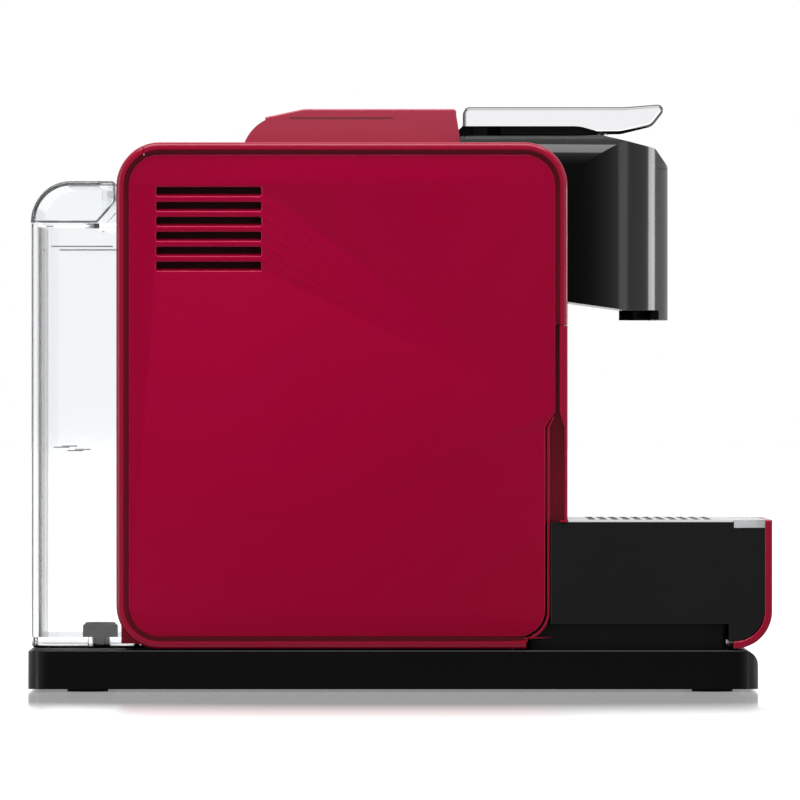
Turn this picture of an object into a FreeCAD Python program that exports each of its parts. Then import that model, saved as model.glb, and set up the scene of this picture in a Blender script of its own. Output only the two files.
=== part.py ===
"""Pod coffee machine: red side shells round an inner frame, a black brewing head with a lifting lever,
a clear water tank behind, and a drawer in front that carries the drip tray and the used-capsule bin.

Frame: +X towards the cup side, +Z up, origin on the floor under the centre of the machine, millimetres.
Every size below is a cell of the sheet "Sizes"; every sub-part is bound to those cells.
"""
import FreeCAD
import Part
import math
import os
import Sketcher

SIZES = {
    # overall
    "depth_total": 326.4, "body_width": 173.0, "body_height": 222.0,
    "tank_reveal": 38.8, "tray_reach": 89.7, "fit_gap": 0.3, "run_fit": 0.08, "wall": 2.5,
    # base
    "foot_height": 1.2, "foot_radius": 9.0, "foot_inset": 18.0, "foot_stud": 3.0, "base_height": 17.2,
    "base_front_gap": 6.0, "base_corner": 9.0, "base_nose": 7.0, "cover_thick": 2.0, "plinth_height": 0.6,
    "screw_radius": 1.5, "screw_head": 3.0, "screw_head_height": 1.4, "post_radius": 4.2,
    "cord_y": 40.0, "cord_bore": 3.4, "gland_radius": 5.0, "gland_flange": 6.0,
    # red shells
    "shell_edge": 3.2, "shell_corner": 19.0, "shell_lip": 9.0, "groove": 2.0, "edge_round": 2.4, "base_round": 1.0,
    "rear_seam_x": 12.2, "front_seam": 80.0, "toe_back": 18.2,
    "panel_thick": 3.2, "panel_step": 1.2, "panel_round": 0.7, "panel_corner": 14.0,
    "grip_jog": 4.5, "grip_top": 103.8, "grip_bottom": 97.0, "toe_radius": 12.0,
    # louvres of the side panels
    "vent_count": 6, "vent_pitch": 6.55, "vent_height": 3.9, "vent_length": 45.9, "vent_rear": 17.6,
    "vent_drop": 21.6, "vent_lip": 1.4,
    # top spine and its cap
    "spine_width": 66.0, "spine_rear": 55.3, "spine_front": 46.5, "spine_height": 12.8, "spine_slope": 4.6,
    "spine_lean": 2.1, "spine_radius": 19.0, "cap_thick": 2.9, "cap_rear": 9.5, "cap_dip": 0.7, "cap_ramp": 17.0, "slit_height": 0.8,
    "slit_length": 45.6, "slit_rear": 20.5, "slit_depth": 1.0,
    # inner frame
    "rear_wall_x": 15.5, "bay_y": 14.0, "partition": 88.5, "shelf_drop": 80.5, "rail_top": 10.8,
    "rail_width": 8.0,
    # brewing head
    "head_half": 50.0, "head_back": 47.0, "head_nose": 45.3, "nose_radius": 40.0, "head_top": 3.7,
    "head_bottom": 69.7, "slope_start": 15.0, "slope_drop": 5.4, "brow": 5.9, "brow_drop": 13.4, "head_round": 3.0,
    "shoulder": 14.0, "chin_web": 3.0,
    "chin_reach": 26.0, "chin_drop": 3.6, "plate_depth": 4.8, "plate_top": 10.6,
    # lever
    "lever_gap": 45.6, "lever_top": 16.6, "lever_belly": 4.5, "lever_tip": 46.0, "lever_tip_rise": 1.6,
    "lever_half": 33.0, "skin_wall": 1.8, "lever_round": 1.8, "skin_rise": 3.6,
    "pivot_x": 38.0, "pivot_rise": 10.0, "pin_radius": 1.5,
    "ear_radius": 3.2, "crank_reach": 16.97, "crank_pin": 2.0, "crank_half_width": 4.0,
    # brewing group
    "arm_in": 20.0, "arm_thick": 3.5, "yoke_thick": 3.1, "run_gap": 0.4, "frame_thick": 3.0, "yoke_play": 0.9,
    "brew_drop": 43.0, "cage_radius": 18.5, "cage_bore": 15.5, "cage_length": 26.0, "block_front": 37.5,
    "block_length": 16.0, "block_half": 19.0, "frame_back": 65.5, "frame_front": 20.0, "sled_rail": 4.0,
    # coffee outlet and steam port
    "spout_x": 32.0, "spout_radius": 8.2, "spout_drop": 77.6, "spout_bore": 4.0, "sleeve_wall": 1.6,
    "port_drop": 37.0, "port_radius": 4.5, "port_bore": 2.0, "door_half": 9.0, "door_height": 17.0,
    "door_thick": 1.6, "door_travel": 15.5,
    # water tank
    "tank_inset": 1.0, "tank_depth": 50.5, "tank_half": 72.0, "tank_wall": 2.2, "tank_corner": 9.0,
    "tank_top": 35.4, "tank_gap": 1.5, "tank_floor": 4.8, "lid_height": 18.6, "lid_radius": 18.6,
    "lid_front": 37.0, "lid_wall": 2.0, "hinge_x": 34.5, "hinge_drop": 22.4, "hinge_radius": 3.4,
    "tank_deck": 20.5, "valve_x": 29.0, "valve_radius": 4.8, "valve_height": 5.5, "mark_rise": 10.0,
    # drawer
    "skin_thick": 3.2, "skin_radius": 16.5, "skin_toe": 17.0, "drawer_top": 56.1, "tub_side": 0.6,
    "slot_front": 19.0, "fascia_thick": 3.5, "grip_lip": 1.4, "grip_reach": 9.0, "grip_web": 1.6, "grip_slope": 7.0,
    "web_depth": 8.0, "tub_back": 7.5,
    "bin_wall": 2.0, "bin_gap": 3.0, "bin_head_gap": 6.0, "grid_thick": 1.0, "lip_length": 13.6,
    "grid_slot": 3.2, "grid_count": 11, "lip_drop": 2.5,
    # works behind the capsule bay
    "pump_radius": 17.0, "pump_length": 74.0, "pump_x": 62.0, "pump_seat": 8.0, "damper_thick": 5.0,
    "heater_x": 22.0, "heater_length": 62.0, "heater_height": 56.0, "heater_depth": 24.0, "heater_y": 40.0,
    "heater_lift": 66.0, "board_length": 78.0, "board_height": 92.0, "board_thick": 1.6, "board_y": 16.0,
    "board_lift": 34.0, "board_x": 12.0, "meter_radius": 12.0, "meter_height": 14.0, "hose_radius": 3.2,
    "hose_bore": 1.8, "pipe_radius": 2.0, "pipe_bore": 1.0, "valve_side": 18.0, "stand": 4.0,
    # mains switch
    "switch_x": 24.0, "switch_z": 20.0, "switch_length": 22.0, "switch_width": 14.0, "rocker_proud": 0.9,
    "rocker_pin": 1.0, "rocker_depth": 2.9,
}

AXES = {"XY": ("XY_Plane", 1), "XZ": ("XZ_Plane", -1), "YZ": ("YZ_Plane", 1)}
SIDES = {"right": -1, "left": 1}

doc = FreeCAD.newDocument("coffee_machine")
sheet = doc.addObject("Spreadsheet::Sheet", "Sizes")
pieces = []


class Size:
    """A length that holds its value now and the sheet expression that gives it."""

    def __init__(self, value, text):
        self.value = float(value)
        self.text = text

    def __add__(self, other):
        other = as_size(other)
        return Size(self.value + other.value, f"({self.text} + {other.text})")

    def __sub__(self, other):
        other = as_size(other)
        return Size(self.value - other.value, f"({self.text} - {other.text})")

    def __mul__(self, other):
        other = as_size(other)
        return Size(self.value * other.value, f"({self.text} * {other.text})")

    def __truediv__(self, other):
        other = as_size(other)
        return Size(self.value / other.value, f"({self.text} / {other.text})")

    def __neg__(self):
        return Size(-self.value, f"(0 - {self.text})")

    def __radd__(self, other):
        return as_size(other) + self

    def __rsub__(self, other):
        return as_size(other) - self

    def __rmul__(self, other):
        return as_size(other) * self


def as_size(number):
    """A plain number as a Size."""
    return number if isinstance(number, Size) else Size(number, f"{float(number):.6f}")


class Cells:
    """Every cell of the sheet as an attribute that is a Size."""


def fill_sheet():
    """Writes the driving dimensions into the sheet and returns them as Sizes."""
    cells = Cells()
    for row, (alias, value) in enumerate(SIZES.items(), 1):
        sheet.set(f"A{row}", alias)
        sheet.set(f"B{row}", str(value))
        sheet.setAlias(f"B{row}", alias)
        setattr(cells, alias, Size(value, f"Sizes.{alias}"))
    doc.recompute()
    return cells


def corner(x, y, radius=0):
    """A corner of an outline, sharp or rounded."""
    return as_size(x), as_size(y), as_size(radius)


def box(x0, y0, x1, y1, radius=0):
    """A rectangle given by two opposite corners."""
    return [corner(x0, y0, radius), corner(x1, y0, radius), corner(x1, y1, radius), corner(x0, y1, radius)]


def circle(x, y, radius):
    """A full circle."""
    return {"circle": corner(x, y, radius)}


class Drawing:
    """The geometry of one sketch, gathered first and then bound in a single step."""

    def __init__(self, sketch):
        self.sketch = sketch
        self.rules = []
        self.texts = {}

    def bind(self, kind, where, *parts):
        """Keeps a dimension and the expression that drives it."""
        self.texts[len(self.rules)] = where.text
        self.rules.append(Sketcher.Constraint(kind, *parts, where.value))

    def pin(self, geometry, point, x, y):
        """Binds a point's two coordinates."""
        self.bind("DistanceX", x, -1, 1, geometry, point)
        self.bind("DistanceY", y, -1, 1, geometry, point)

    def circle(self, x, y, radius):
        """A fully bound circle."""
        centre = FreeCAD.Vector(x.value, y.value, 0)
        index = self.sketch.addGeometry(Part.Circle(centre, FreeCAD.Vector(0, 0, 1), radius.value), False)
        self.pin(index, 3, x, y)
        self.bind("Radius", radius, index)

    def outline(self, corners):
        """A closed outline of lines and tangent corner arcs, fully bound."""
        points = [FreeCAD.Vector(x.value, y.value, 0) for x, y, _ in corners]
        count = len(corners)
        arcs = {}
        for i, (_, _, radius) in enumerate(corners):
            if radius.value > 0:
                arcs[i] = corner_arc(points[i - 1], points[i], points[(i + 1) % count], radius.value)
        lines = []
        for i in range(count):
            start = arcs[i][2] if i in arcs else points[i]
            after = (i + 1) % count
            end = arcs[after][0] if after in arcs else points[after]
            lines.append(self.sketch.addGeometry(Part.LineSegment(start, end), False))
        for i, (x, y, radius) in enumerate(corners):
            if i in arcs:
                self.rounded(arcs[i], points[i], lines[i - 1], lines[i], (x, y, radius))
            else:
                self.rules.append(Sketcher.Constraint("Coincident", lines[i - 1], 2, lines[i], 1))
                self.pin(lines[i], 1, x, y)

    def rounded(self, arc_points, point, before, after, data):
        """One corner arc between two lines."""
        start, middle, end = arc_points
        left = (middle - start).cross(end - middle).z > 0
        shape = Part.Arc(start, middle, end) if left else Part.Arc(end, middle, start)
        first, last = (1, 2) if left else (2, 1)
        arc = self.sketch.addGeometry(shape, False)
        mark = self.sketch.addGeometry(Part.Point(point), True)
        self.pin(mark, 1, data[0], data[1])
        self.rules.append(Sketcher.Constraint("PointOnObject", mark, 1, after))
        self.rules.append(Sketcher.Constraint("PointOnObject", mark, 1, before))
        self.rules.append(Sketcher.Constraint("Tangent", before, 2, arc, first))
        self.rules.append(Sketcher.Constraint("Tangent", arc, last, after, 1))
        self.bind("Radius", data[2], arc)

    def finish(self):
        """Adds every constraint at once and then its expressions."""
        self.sketch.addConstraint(self.rules)
        for index, text in self.texts.items():
            self.sketch.setExpression(f"Constraints[{index}]", text)


def corner_arc(before, at, after, radius):
    """Start, middle and end of the arc that rounds a corner."""
    to_before = (before - at).normalize()
    to_after = (after - at).normalize()
    half = to_before.getAngle(to_after) / 2
    reach = radius / math.tan(half)
    centre = at + (to_before + to_after).normalize() * (radius / math.sin(half))
    return at + to_before * reach, centre + (at - centre).normalize() * radius, at + to_after * reach


class Piece:
    """One sub-part: a PartDesign body whose features are added one by one."""

    def __init__(self, label):
        self.body = doc.addObject("PartDesign::Body", label)
        self.body.Label = label
        self.body.AllowCompound = True
        self.count = 0
        pieces.append(self.body)

    def name(self, kind):
        """A fresh feature name."""
        self.count += 1
        return f"{self.body.Name}_{kind}{self.count}"

    def sketch(self, plane, offset, loops, centre=(0, 0)):
        """A sketch on one of the body's origin planes, moved along its normal."""
        role, sign = AXES[plane]
        sketch = self.body.newObject("Sketcher::SketchObject", self.name("sketch"))
        support = next(f for f in self.body.Origin.OriginFeatures if f.Role == role)
        sketch.AttachmentSupport = [(support, "")]
        sketch.MapMode = "FlatFace"
        offset = as_size(offset) * sign
        across, up = as_size(centre[0]), as_size(centre[1])
        sketch.AttachmentOffset = FreeCAD.Placement(
            FreeCAD.Vector(across.value, up.value, offset.value), FreeCAD.Rotation())
        for letter, where in (("x", across), ("y", up), ("z", offset)):
            sketch.setExpression(f"AttachmentOffset.Base.{letter}", where.text)
        drawing = Drawing(sketch)
        for loop in loops:
            if isinstance(loop, dict):
                drawing.circle(*loop["circle"])
            else:
                drawing.outline(loop)
        drawing.finish()
        return sketch

    def extrude(self, kind, plane, low, high, loops):
        """A pad or pocket that fills the space between two coordinates along the plane's axis."""
        low, high = as_size(low), as_size(high)
        starts_low = (AXES[plane][1] > 0) == (kind == "Pad")
        sketch = self.sketch(plane, low if starts_low else high, loops)
        feature = self.body.newObject(f"PartDesign::{kind}", self.name(kind.lower()))
        feature.Profile = sketch
        feature.Length = (high - low).value
        feature.setExpression("Length", (high - low).text)
        doc.recompute()
        return feature

    def pad(self, plane, low, high, *loops):
        """Adds material between low and high."""
        before = self.volume()
        self.extrude("Pad", plane, low, high, loops)
        if self.volume() <= before:
            raise ValueError(f"a pad adds nothing to {self.body.Label}")
        return self

    def cut(self, plane, low, high, *loops):
        """Takes material away between low and high."""
        before = self.volume()
        self.extrude("Pocket", plane, low, high, loops)
        if self.volume() >= before - 1e-6:
            raise ValueError(f"a pocket cuts nothing from {self.body.Label}")
        return self

    def repeat(self, role, span, count, back=False):
        """Repeats the last feature along one of the origin axes."""
        original = self.body.Tip
        feature = self.body.newObject("PartDesign::LinearPattern", self.name("pattern"))
        feature.Originals = [original]
        axis = next(f for f in self.body.Origin.OriginFeatures if f.Role == role)
        feature.Direction = (axis, [""])
        feature.Reversed = back
        feature.Length = span.value
        feature.setExpression("Length", span.text)
        feature.Occurrences = int(count.value)
        feature.setExpression("Occurrences", count.text)
        self.body.Tip = feature
        doc.recompute()
        return self

    def turn(self, plane, offset, loop, centre=(0, 0), axis="V_Axis", kind="Revolution"):
        """Revolves an outline about the sketch's own vertical or horizontal axis."""
        sketch = self.sketch(plane, offset, [loop], centre)
        feature = self.body.newObject(f"PartDesign::{kind}", self.name("turn"))
        feature.Profile = sketch
        feature.ReferenceAxis = (sketch, [axis])
        feature.Angle = 360
        doc.recompute()
        return self

    def round(self, radius, chosen, kind="Fillet"):
        """Fillets or chamfers the edges of the tip that the test chooses."""
        radius = as_size(radius)
        tip = self.body.Tip
        names = [f"Edge{i}" for i, edge in enumerate(tip.Shape.Edges, 1) if chosen(edge)]
        if not names:
            raise ValueError(f"no edge to round on {self.body.Label}")
        feature = self.body.newObject(f"PartDesign::{kind}", self.name(kind.lower()))
        feature.Base = (tip, names)
        size_name = "Radius" if kind == "Fillet" else "Size"
        setattr(feature, size_name, radius.value)
        feature.setExpression(size_name, radius.text)
        doc.recompute()
        return self

    def volume(self):
        """The body's volume so far."""
        shape = self.body.Shape
        return 0.0 if shape.isNull() else shape.Volume


def along(axis, *tests):
    """Chooses straight edges parallel to an axis whose centre passes every test."""
    direction = {"X": FreeCAD.Vector(1, 0, 0), "Y": FreeCAD.Vector(0, 1, 0), "Z": FreeCAD.Vector(0, 0, 1)}[axis]

    def chosen(edge):
        if edge.Curve.TypeId != "Part::GeomLine":
            return False
        run = edge.Vertexes[-1].Point - edge.Vertexes[0].Point
        if run.Length < 1e-6 or abs(abs(run.normalize().dot(direction)) - 1) > 1e-6:
            return False
        return all(test(edge.CenterOfMass) for test in tests)

    return chosen


def in_plane(axis, *values):
    """Chooses edges that lie wholly in one of the planes at the given coordinates."""
    numbers = [as_size(value).value for value in values]

    def chosen(edge):
        box_of = edge.BoundBox
        low, high = getattr(box_of, f"{axis}Min"), getattr(box_of, f"{axis}Max")
        return any(abs(low - number) < 1e-4 and abs(high - number) < 1e-4 for number in numbers)

    return chosen


def between(low, high, side):
    """The two ends of a span that is mirrored to one side of the centre plane."""
    low, high = as_size(low), as_size(high)
    return (low, high) if side > 0 else (-high, -low)


def tube(label, points, outer, bore, bend):
    """A hose or pipe along straight runs joined by tangent arcs. Part functions sweep it, because its path is in space."""
    outer, bore, bend = (as_size(value).value for value in (outer, bore, bend))
    at = [FreeCAD.Vector(*(as_size(c).value for c in point)) for point in points]
    edges, last = [], at[0]
    for before, here, after in zip(at, at[1:], at[2:]):
        start, middle, end = corner_arc(before, here, after, bend)
        edges += [Part.makeLine(last, start), Part.Arc(start, middle, end).toShape()]
        last = end
    edges.append(Part.makeLine(last, at[-1]))
    path = Part.Wire(edges)
    solids = []
    for radius in (outer, bore):
        ring = Part.Wire([Part.makeCircle(radius, at[0], at[1] - at[0])])
        solids.append(path.makePipeShell([ring], True, False))
    feature = doc.addObject("Part::Feature", label)
    feature.Label = label
    feature.Shape = solids[0].cut(solids[1])
    pieces.append(feature)
    return feature


def lay_out(s):
    """Adds the places that several sub-parts share."""
    s.front = s.depth_total / 2
    s.rear = -s.front
    s.half = s.body_width / 2
    s.base_top = s.foot_height + s.base_height
    s.body_rear = s.rear + s.tank_reveal
    s.body_front = s.front - s.tray_reach
    s.floor = s.base_top + s.plinth_height
    s.top = s.floor + s.body_height
    s.lip_back = s.half - s.panel_step - s.panel_thick
    s.lip_in = s.lip_back - s.wall
    s.seam_z = s.top - s.front_seam
    s.toe = s.body_front - s.toe_back
    s.back_wall = s.body_rear + s.rear_wall_x
    s.tank_hole = s.tank_half + s.tank_gap
    s.bay_wall = s.half - s.bay_y
    s.partition_x = s.body_front - s.partition
    s.deck = s.floor + s.wall + 0.5
    s.shelf = s.top - s.shelf_drop
    s.rail = s.floor + s.rail_top
    s.sled = s.rail + s.wall
    s.lever_low = s.top + s.lever_belly
    s.lever_high = s.top + s.lever_top
    s.lever_rear = s.body_front - s.lever_gap
    s.pivot = s.body_front - s.pivot_x
    s.pivot_z = s.top + s.pivot_rise
    s.arm_out = s.arm_in + s.arm_thick
    s.yoke_in = s.arm_out + s.run_gap
    s.yoke_out = s.yoke_in + s.yoke_thick
    s.frame_in = s.yoke_out + s.run_gap
    s.frame_out = s.frame_in + s.frame_thick
    s.crank_x = s.pivot - s.crank_reach
    s.crank_z = s.pivot_z - s.crank_reach
    s.brew_z = s.top - s.brew_drop
    s.brew_x = s.body_front - s.block_front
    s.brew_floor = s.shelf + s.wall
    s.nose = s.body_front + s.head_nose
    s.head_z = s.top + s.head_top
    s.plate_x = s.nose - s.plate_depth
    s.tank_rear = s.rear + s.tank_inset
    s.tank_front = s.tank_rear + s.tank_depth
    s.tank_low = s.floor
    s.tank_high = s.top - s.tank_top
    s.hinge = s.tank_rear + s.hinge_x
    s.rocker_pivot = s.half - s.rocker_depth
    s.hinge_z = s.top - s.hinge_drop
    s.valve = s.tank_rear + s.valve_x
    s.tub_top = s.base_top + s.drawer_top
    s.tub_rear = s.body_front - s.tub_back
    s.tub_half = s.half - s.tub_side
    s.slot_end = s.front - s.slot_front
    s.tub_front = s.front - s.skin_thick
    s.spout = s.body_front + s.spout_x


def sunk_screws(piece, s, plane, low, high, places):
    """Round-headed screws along an axis, heads at the high end."""
    piece.pad(plane, low, high, *[circle(x, y, s.screw_radius) for x, y in places])


def base_places(s):
    """Where the screws of the base stand."""
    x0, x1, y = s.rear + 48, s.front - 34, s.half - 16
    return [(x, y * side) for x in (x0, s.body_rear / 4, x1) for side in (-1, 1)]


def make_base_plate(s):
    """The low plinth that everything stands on."""
    piece = Piece("base_plate")
    nose_x = s.front - s.base_front_gap
    piece.pad("XY", s.foot_height, s.base_top, box(s.rear, -s.half, nose_x, s.half, s.base_corner))
    piece.round(s.base_round, in_plane("Z", s.base_top))
    far, reach = nose_x + 2, s.base_nose * 2
    piece.cut("XZ", -s.half - 1, s.half + 1, [
        corner(nose_x - reach, s.base_top), corner(nose_x, s.base_top, s.base_nose),
        corner(nose_x, s.base_top - reach), corner(far, s.base_top - reach),
        corner(far, s.base_top + 2), corner(nose_x - reach, s.base_top + 2)])
    inner = s.half - s.wall
    piece.cut("XY", s.foot_height, s.base_top - s.wall,
              box(s.rear + s.wall, -inner, nose_x - s.base_nose, inner, s.base_corner - s.wall))
    posts = [circle(x, y, s.post_radius) for x, y in base_places(s)]
    piece.pad("XY", s.foot_height + s.cover_thick, s.base_top - s.wall, *posts)
    holes = [circle(x, y, s.screw_radius + 0.1) for x, y in base_places(s)]
    piece.cut("XY", s.foot_height, s.base_top - s.wall, *holes)
    piece.pad("XY", s.base_top, s.floor, box(s.body_rear + 4, 6 - s.half, s.toe - 4, s.half - 6, 3))
    middle = s.foot_height + s.base_height / 2
    piece.cut("YZ", s.rear - 1, s.rear + s.wall, circle(s.cord_y, middle, s.gland_radius + s.fit_gap))
    hose = s.hose_radius + s.fit_gap
    piece.cut("XY", s.base_top - s.wall, s.floor, circle(s.valve, 0, hose), circle(*meter_place(s), hose))


def make_bottom_cover(s):
    """The plate that closes the base from below."""
    piece = Piece("base_bottom_cover")
    inner = s.half - s.wall - s.fit_gap
    x0, x1 = s.rear + s.wall + s.fit_gap, s.front - s.base_front_gap - s.base_nose - s.fit_gap
    piece.pad("XY", s.foot_height, s.foot_height + s.cover_thick,
              box(x0, -inner, x1, inner, s.base_corner - s.wall))
    studs = [circle(x, y, s.foot_stud + s.fit_gap) for x, y in foot_places(s)]
    screws = [circle(x, y, s.screw_radius + 0.1) for x, y in base_places(s)]
    piece.cut("XY", s.foot_height, s.foot_height + s.cover_thick, *studs, *screws)
    heads = [circle(x, y, s.screw_head + s.fit_gap) for x, y in base_places(s)]
    piece.cut("XY", s.foot_height, s.foot_height + s.screw_head_height, *heads)
    vents = [box(x, -18, x + 3, 18, 1.4) for x in (s.body_rear + 40, s.body_rear + 48, s.body_rear + 56)]
    piece.cut("XY", s.foot_height, s.foot_height + s.cover_thick, *vents)


def foot_places(s):
    """Where the feet stand."""
    x, y = s.front - s.foot_inset - 8, s.half - s.foot_inset + 2
    return [(x * sx, y * sy) for sx in (-1, 1) for sy in (-1, 1)]


def make_feet(s):
    """Four rubber feet, each with a stud through the bottom cover."""
    piece = Piece("rubber_feet")
    piece.pad("XY", 0, s.foot_height, *[circle(x, y, s.foot_radius) for x, y in foot_places(s)])
    piece.pad("XY", s.foot_height, s.foot_height + s.cover_thick + 1,
              *[circle(x, y, s.foot_stud) for x, y in foot_places(s)])


def make_base_screws(s):
    """The six screws of the base, drawn as one group."""
    piece = Piece("base_screws")
    low = s.foot_height + 0.1
    piece.pad("XY", low, low + s.screw_head_height - 0.1,
              *[circle(x, y, s.screw_head) for x, y in base_places(s)])
    piece.pad("XY", s.foot_height + s.screw_head_height, s.base_top - s.wall - 2,
              *[circle(x, y, s.screw_radius - 0.2) for x, y in base_places(s)])


def make_cord_gland(s):
    """The grommet where the mains cord enters the base."""
    piece = Piece("cord_gland")
    middle = s.foot_height + s.base_height / 2
    piece.pad("YZ", s.rear + 0.4, s.rear + s.wall, circle(s.cord_y, middle, s.gland_radius))
    piece.pad("YZ", s.rear + s.wall, s.rear + s.wall + 2, circle(s.cord_y, middle, s.gland_flange))
    piece.cut("YZ", s.rear, s.rear + s.wall + 3, circle(s.cord_y, middle, s.cord_bore))


def make_drip_base(s):
    """The low block on the base that the drawer glides on and lifts off."""
    piece = Piece("drip_base")
    width = s.half - 8
    piece.pad("XY", s.base_top, s.rail, box(s.toe + 1, -width, s.slot_end - 1, width, 2))
    piece.cut("XY", s.base_top + s.wall, s.rail, box(s.toe + 4, 4 - width, s.slot_end - 5, width - 4, 2))
    ribs = [box(x, 5 - width, x + 2.5, width - 5) for x in (s.toe + 24, s.toe + 46, s.toe + 68)]
    piece.pad("XY", s.base_top + s.wall, s.rail, *ribs)


def hoop(piece, s):
    """The red band round the body with the inner lips that carry the side panels."""
    def ring(inset, radius):
        return box(s.body_rear + inset, s.floor + inset, s.body_front - inset, s.top - inset, radius)

    piece.pad("XZ", -s.half, s.half, ring(as_size(0), s.shell_corner))
    piece.round(s.edge_round, in_plane("Y", s.half, -s.half))
    bore = ring(s.shell_edge, s.shell_corner - s.shell_edge)
    for side in SIDES.values():
        low, high = between(s.lip_back, s.half + 1, side)
        piece.cut("XZ", low, high, bore)
    piece.cut("XZ", -s.half, s.half, ring(s.shell_edge + s.shell_lip, s.shell_corner - s.shell_lip))
    piece.cut("XZ", -s.lip_in, s.lip_in, ring(s.wall, s.shell_corner - s.wall))


def make_rear_shell(s):
    """The lower and rear part of the band, open behind for the tank."""
    piece = Piece("rear_shell")
    hoop(piece, s)
    wide = s.half + 1
    seam = s.body_rear + s.rear_seam_x
    piece.cut("XY", s.floor + s.body_height / 2, s.top + 1, box(seam - 0.3, -wide, s.body_front + 1, wide))
    piece.cut("XY", s.floor - 1, s.floor + s.body_height, box(s.toe, -wide, s.body_front + 1, wide))
    piece.cut("XY", s.floor - 1, s.top + 1,
              box(s.body_rear - 1, -s.tank_hole, s.back_wall - 0.1, s.tank_hole))
    piece.cut("XY", s.floor, s.floor + s.wall, circle(*meter_place(s), s.hose_radius + s.fit_gap))
    for side in SIDES.values():
        low, high = between(s.tank_hole, s.tank_hole + s.wall, side)
        piece.pad("XZ", low, high, box(s.body_rear + s.wall - 0.5, s.floor + s.wall - 0.5,
                                       s.back_wall, s.top - 20))


def make_top_shell(s):
    """The upper part of the band with the openings for the lever and the brewing head."""
    piece = Piece("top_shell")
    hoop(piece, s)
    wide = s.half + 1
    seam = s.body_rear + s.rear_seam_x
    piece.cut("XY", s.floor - 1, s.top + 1, box(s.body_rear - 1, -wide, seam, wide))
    piece.cut("XY", s.floor - 1, s.seam_z, box(s.body_rear, -wide, s.body_front + 1, wide))
    piece.cut("XY", s.floor, s.top + 1, box(s.body_rear - 1, -s.tank_hole, s.back_wall, s.tank_hole))
    piece.cut("XY", s.top - s.wall - 1, s.top + 1,
              box(s.pivot - 19.5, -s.frame_out - 0.5, s.body_front - s.wall, s.frame_out + 0.5, 1))
    gap = s.head_half - 4
    piece.cut("YZ", s.body_front - s.shell_corner, s.body_front + 1,
              box(-gap, s.seam_z - 1, gap, s.top - s.wall - 0.5))


def panel_outline(s):
    """The side panel's outline with the jog at the drawer's grip and the rounded toe."""
    inset = s.shell_edge + s.groove
    x0, x1 = s.body_rear + inset, s.body_front - inset
    z0, z1 = s.floor + inset, s.top - inset
    back = x1 - s.grip_jog
    return [corner(x0, z0, s.panel_corner), corner(back, z0, s.toe_radius),
            corner(back, s.floor + s.grip_bottom, 2), corner(x1, s.floor + s.grip_top, 2),
            corner(x1, z1, s.panel_corner), corner(x0, z1, s.panel_corner)]


def make_side_panel(s, name, side):
    """A glossy side panel with six louvres."""
    piece = Piece(f"side_panel_{name}")
    low, high = between(s.lip_back, s.half - s.panel_step, side)
    piece.pad("XZ", low, high, panel_outline(s))
    piece.round(s.panel_round, in_plane("Y", (s.half - s.panel_step) * side))
    x0 = s.body_rear + s.vent_rear
    x1 = x0 + s.vent_length
    z = s.top - s.vent_drop
    span = s.vent_pitch * (s.vent_count - 1)
    piece.cut("XZ", low, high, box(x0, z - s.vent_height / 2, x1, z + s.vent_height / 2, 0.8))
    piece.repeat("Z_Axis", span, s.vent_count, True)
    outer, inner = (s.half - s.panel_step - 0.4) * side, s.lip_back * side
    sill = z - s.vent_height / 2 - 0.3
    piece.pad("YZ", x0 - 0.3, x1 + 0.3, [
        corner(outer, sill), corner(inner, sill), corner(inner, sill + s.vent_lip)])
    piece.repeat("Z_Axis", span, s.vent_count, True)
    if name == "left":
        cx, cz = s.body_rear + s.switch_x, s.floor + s.switch_z
        piece.cut("XZ", low, high, box(cx, cz, cx + s.switch_length, cz + s.switch_width, 1))


def make_chassis(s):
    """The inner frame: floor, tank wall, capsule bay and the shelf that carries the brewing group."""
    piece = Piece("chassis")
    x1 = s.body_front - s.fascia_thick - 0.4
    width = s.lip_in - 1
    piece.pad("XY", s.deck, s.deck + s.wall, box(s.back_wall, -width, s.partition_x, width))
    piece.pad("XY", s.shelf, s.brew_floor, box(s.back_wall, -width, x1, width))
    piece.pad("YZ", s.back_wall, s.back_wall + s.wall, box(-width, s.deck, width, s.top - s.wall - 1))
    piece.pad("YZ", s.partition_x, s.partition_x + s.wall, box(-s.bay_wall, s.deck, s.bay_wall, s.brew_floor))
    for side in SIDES.values():
        low, high = between(s.bay_wall - s.wall, s.bay_wall, side)
        piece.pad("XZ", low, high, box(s.partition_x, s.deck, s.toe - 1, s.brew_floor))
        low, high = between(s.bay_wall - s.rail_width, s.bay_wall, side)
        piece.pad("XZ", low, high, box(s.partition_x + s.wall - 0.5, s.deck, s.toe - 1, s.rail))
        low, high = between(s.bay_wall, s.lip_back, side)
        shelf_mid = (s.deck + s.shelf) / 2
        piece.pad("XZ", low, high, box(s.partition_x, shelf_mid, s.toe - 1, shelf_mid + s.wall))
    drop = s.brew_x + s.cage_length + 8
    piece.cut("XY", s.shelf, s.brew_floor, box(s.brew_x, -21, drop, 21, 3))
    piece.cut("XY", s.shelf, s.brew_floor, box(s.back_wall + 14, -s.bay_wall, s.partition_x - 6, -20, 3))
    meter_x, meter_y = meter_place(s)
    piece.cut("XY", s.deck, s.deck + s.wall, circle(meter_x, meter_y, s.hose_radius + s.fit_gap))
    piece.cut("XY", s.shelf, s.brew_floor, circle(s.partition_x - 21, s.heater_y + 3, s.pipe_radius + s.fit_gap))
    pegs = [circle(x, s.heater_y + 7, s.post_radius) for x in heater_pegs(s)]
    piece.pad("XY", s.deck + s.wall, s.floor + s.heater_lift, *pegs)


def meter_place(s):
    """Where the flow meter stands on the floor."""
    return s.back_wall + 16, as_size(-30)


def heater_pegs(s):
    """The two posts under the heater."""
    x0 = s.back_wall + s.heater_x
    return x0 + 10, x0 + s.heater_length - 10


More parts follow.
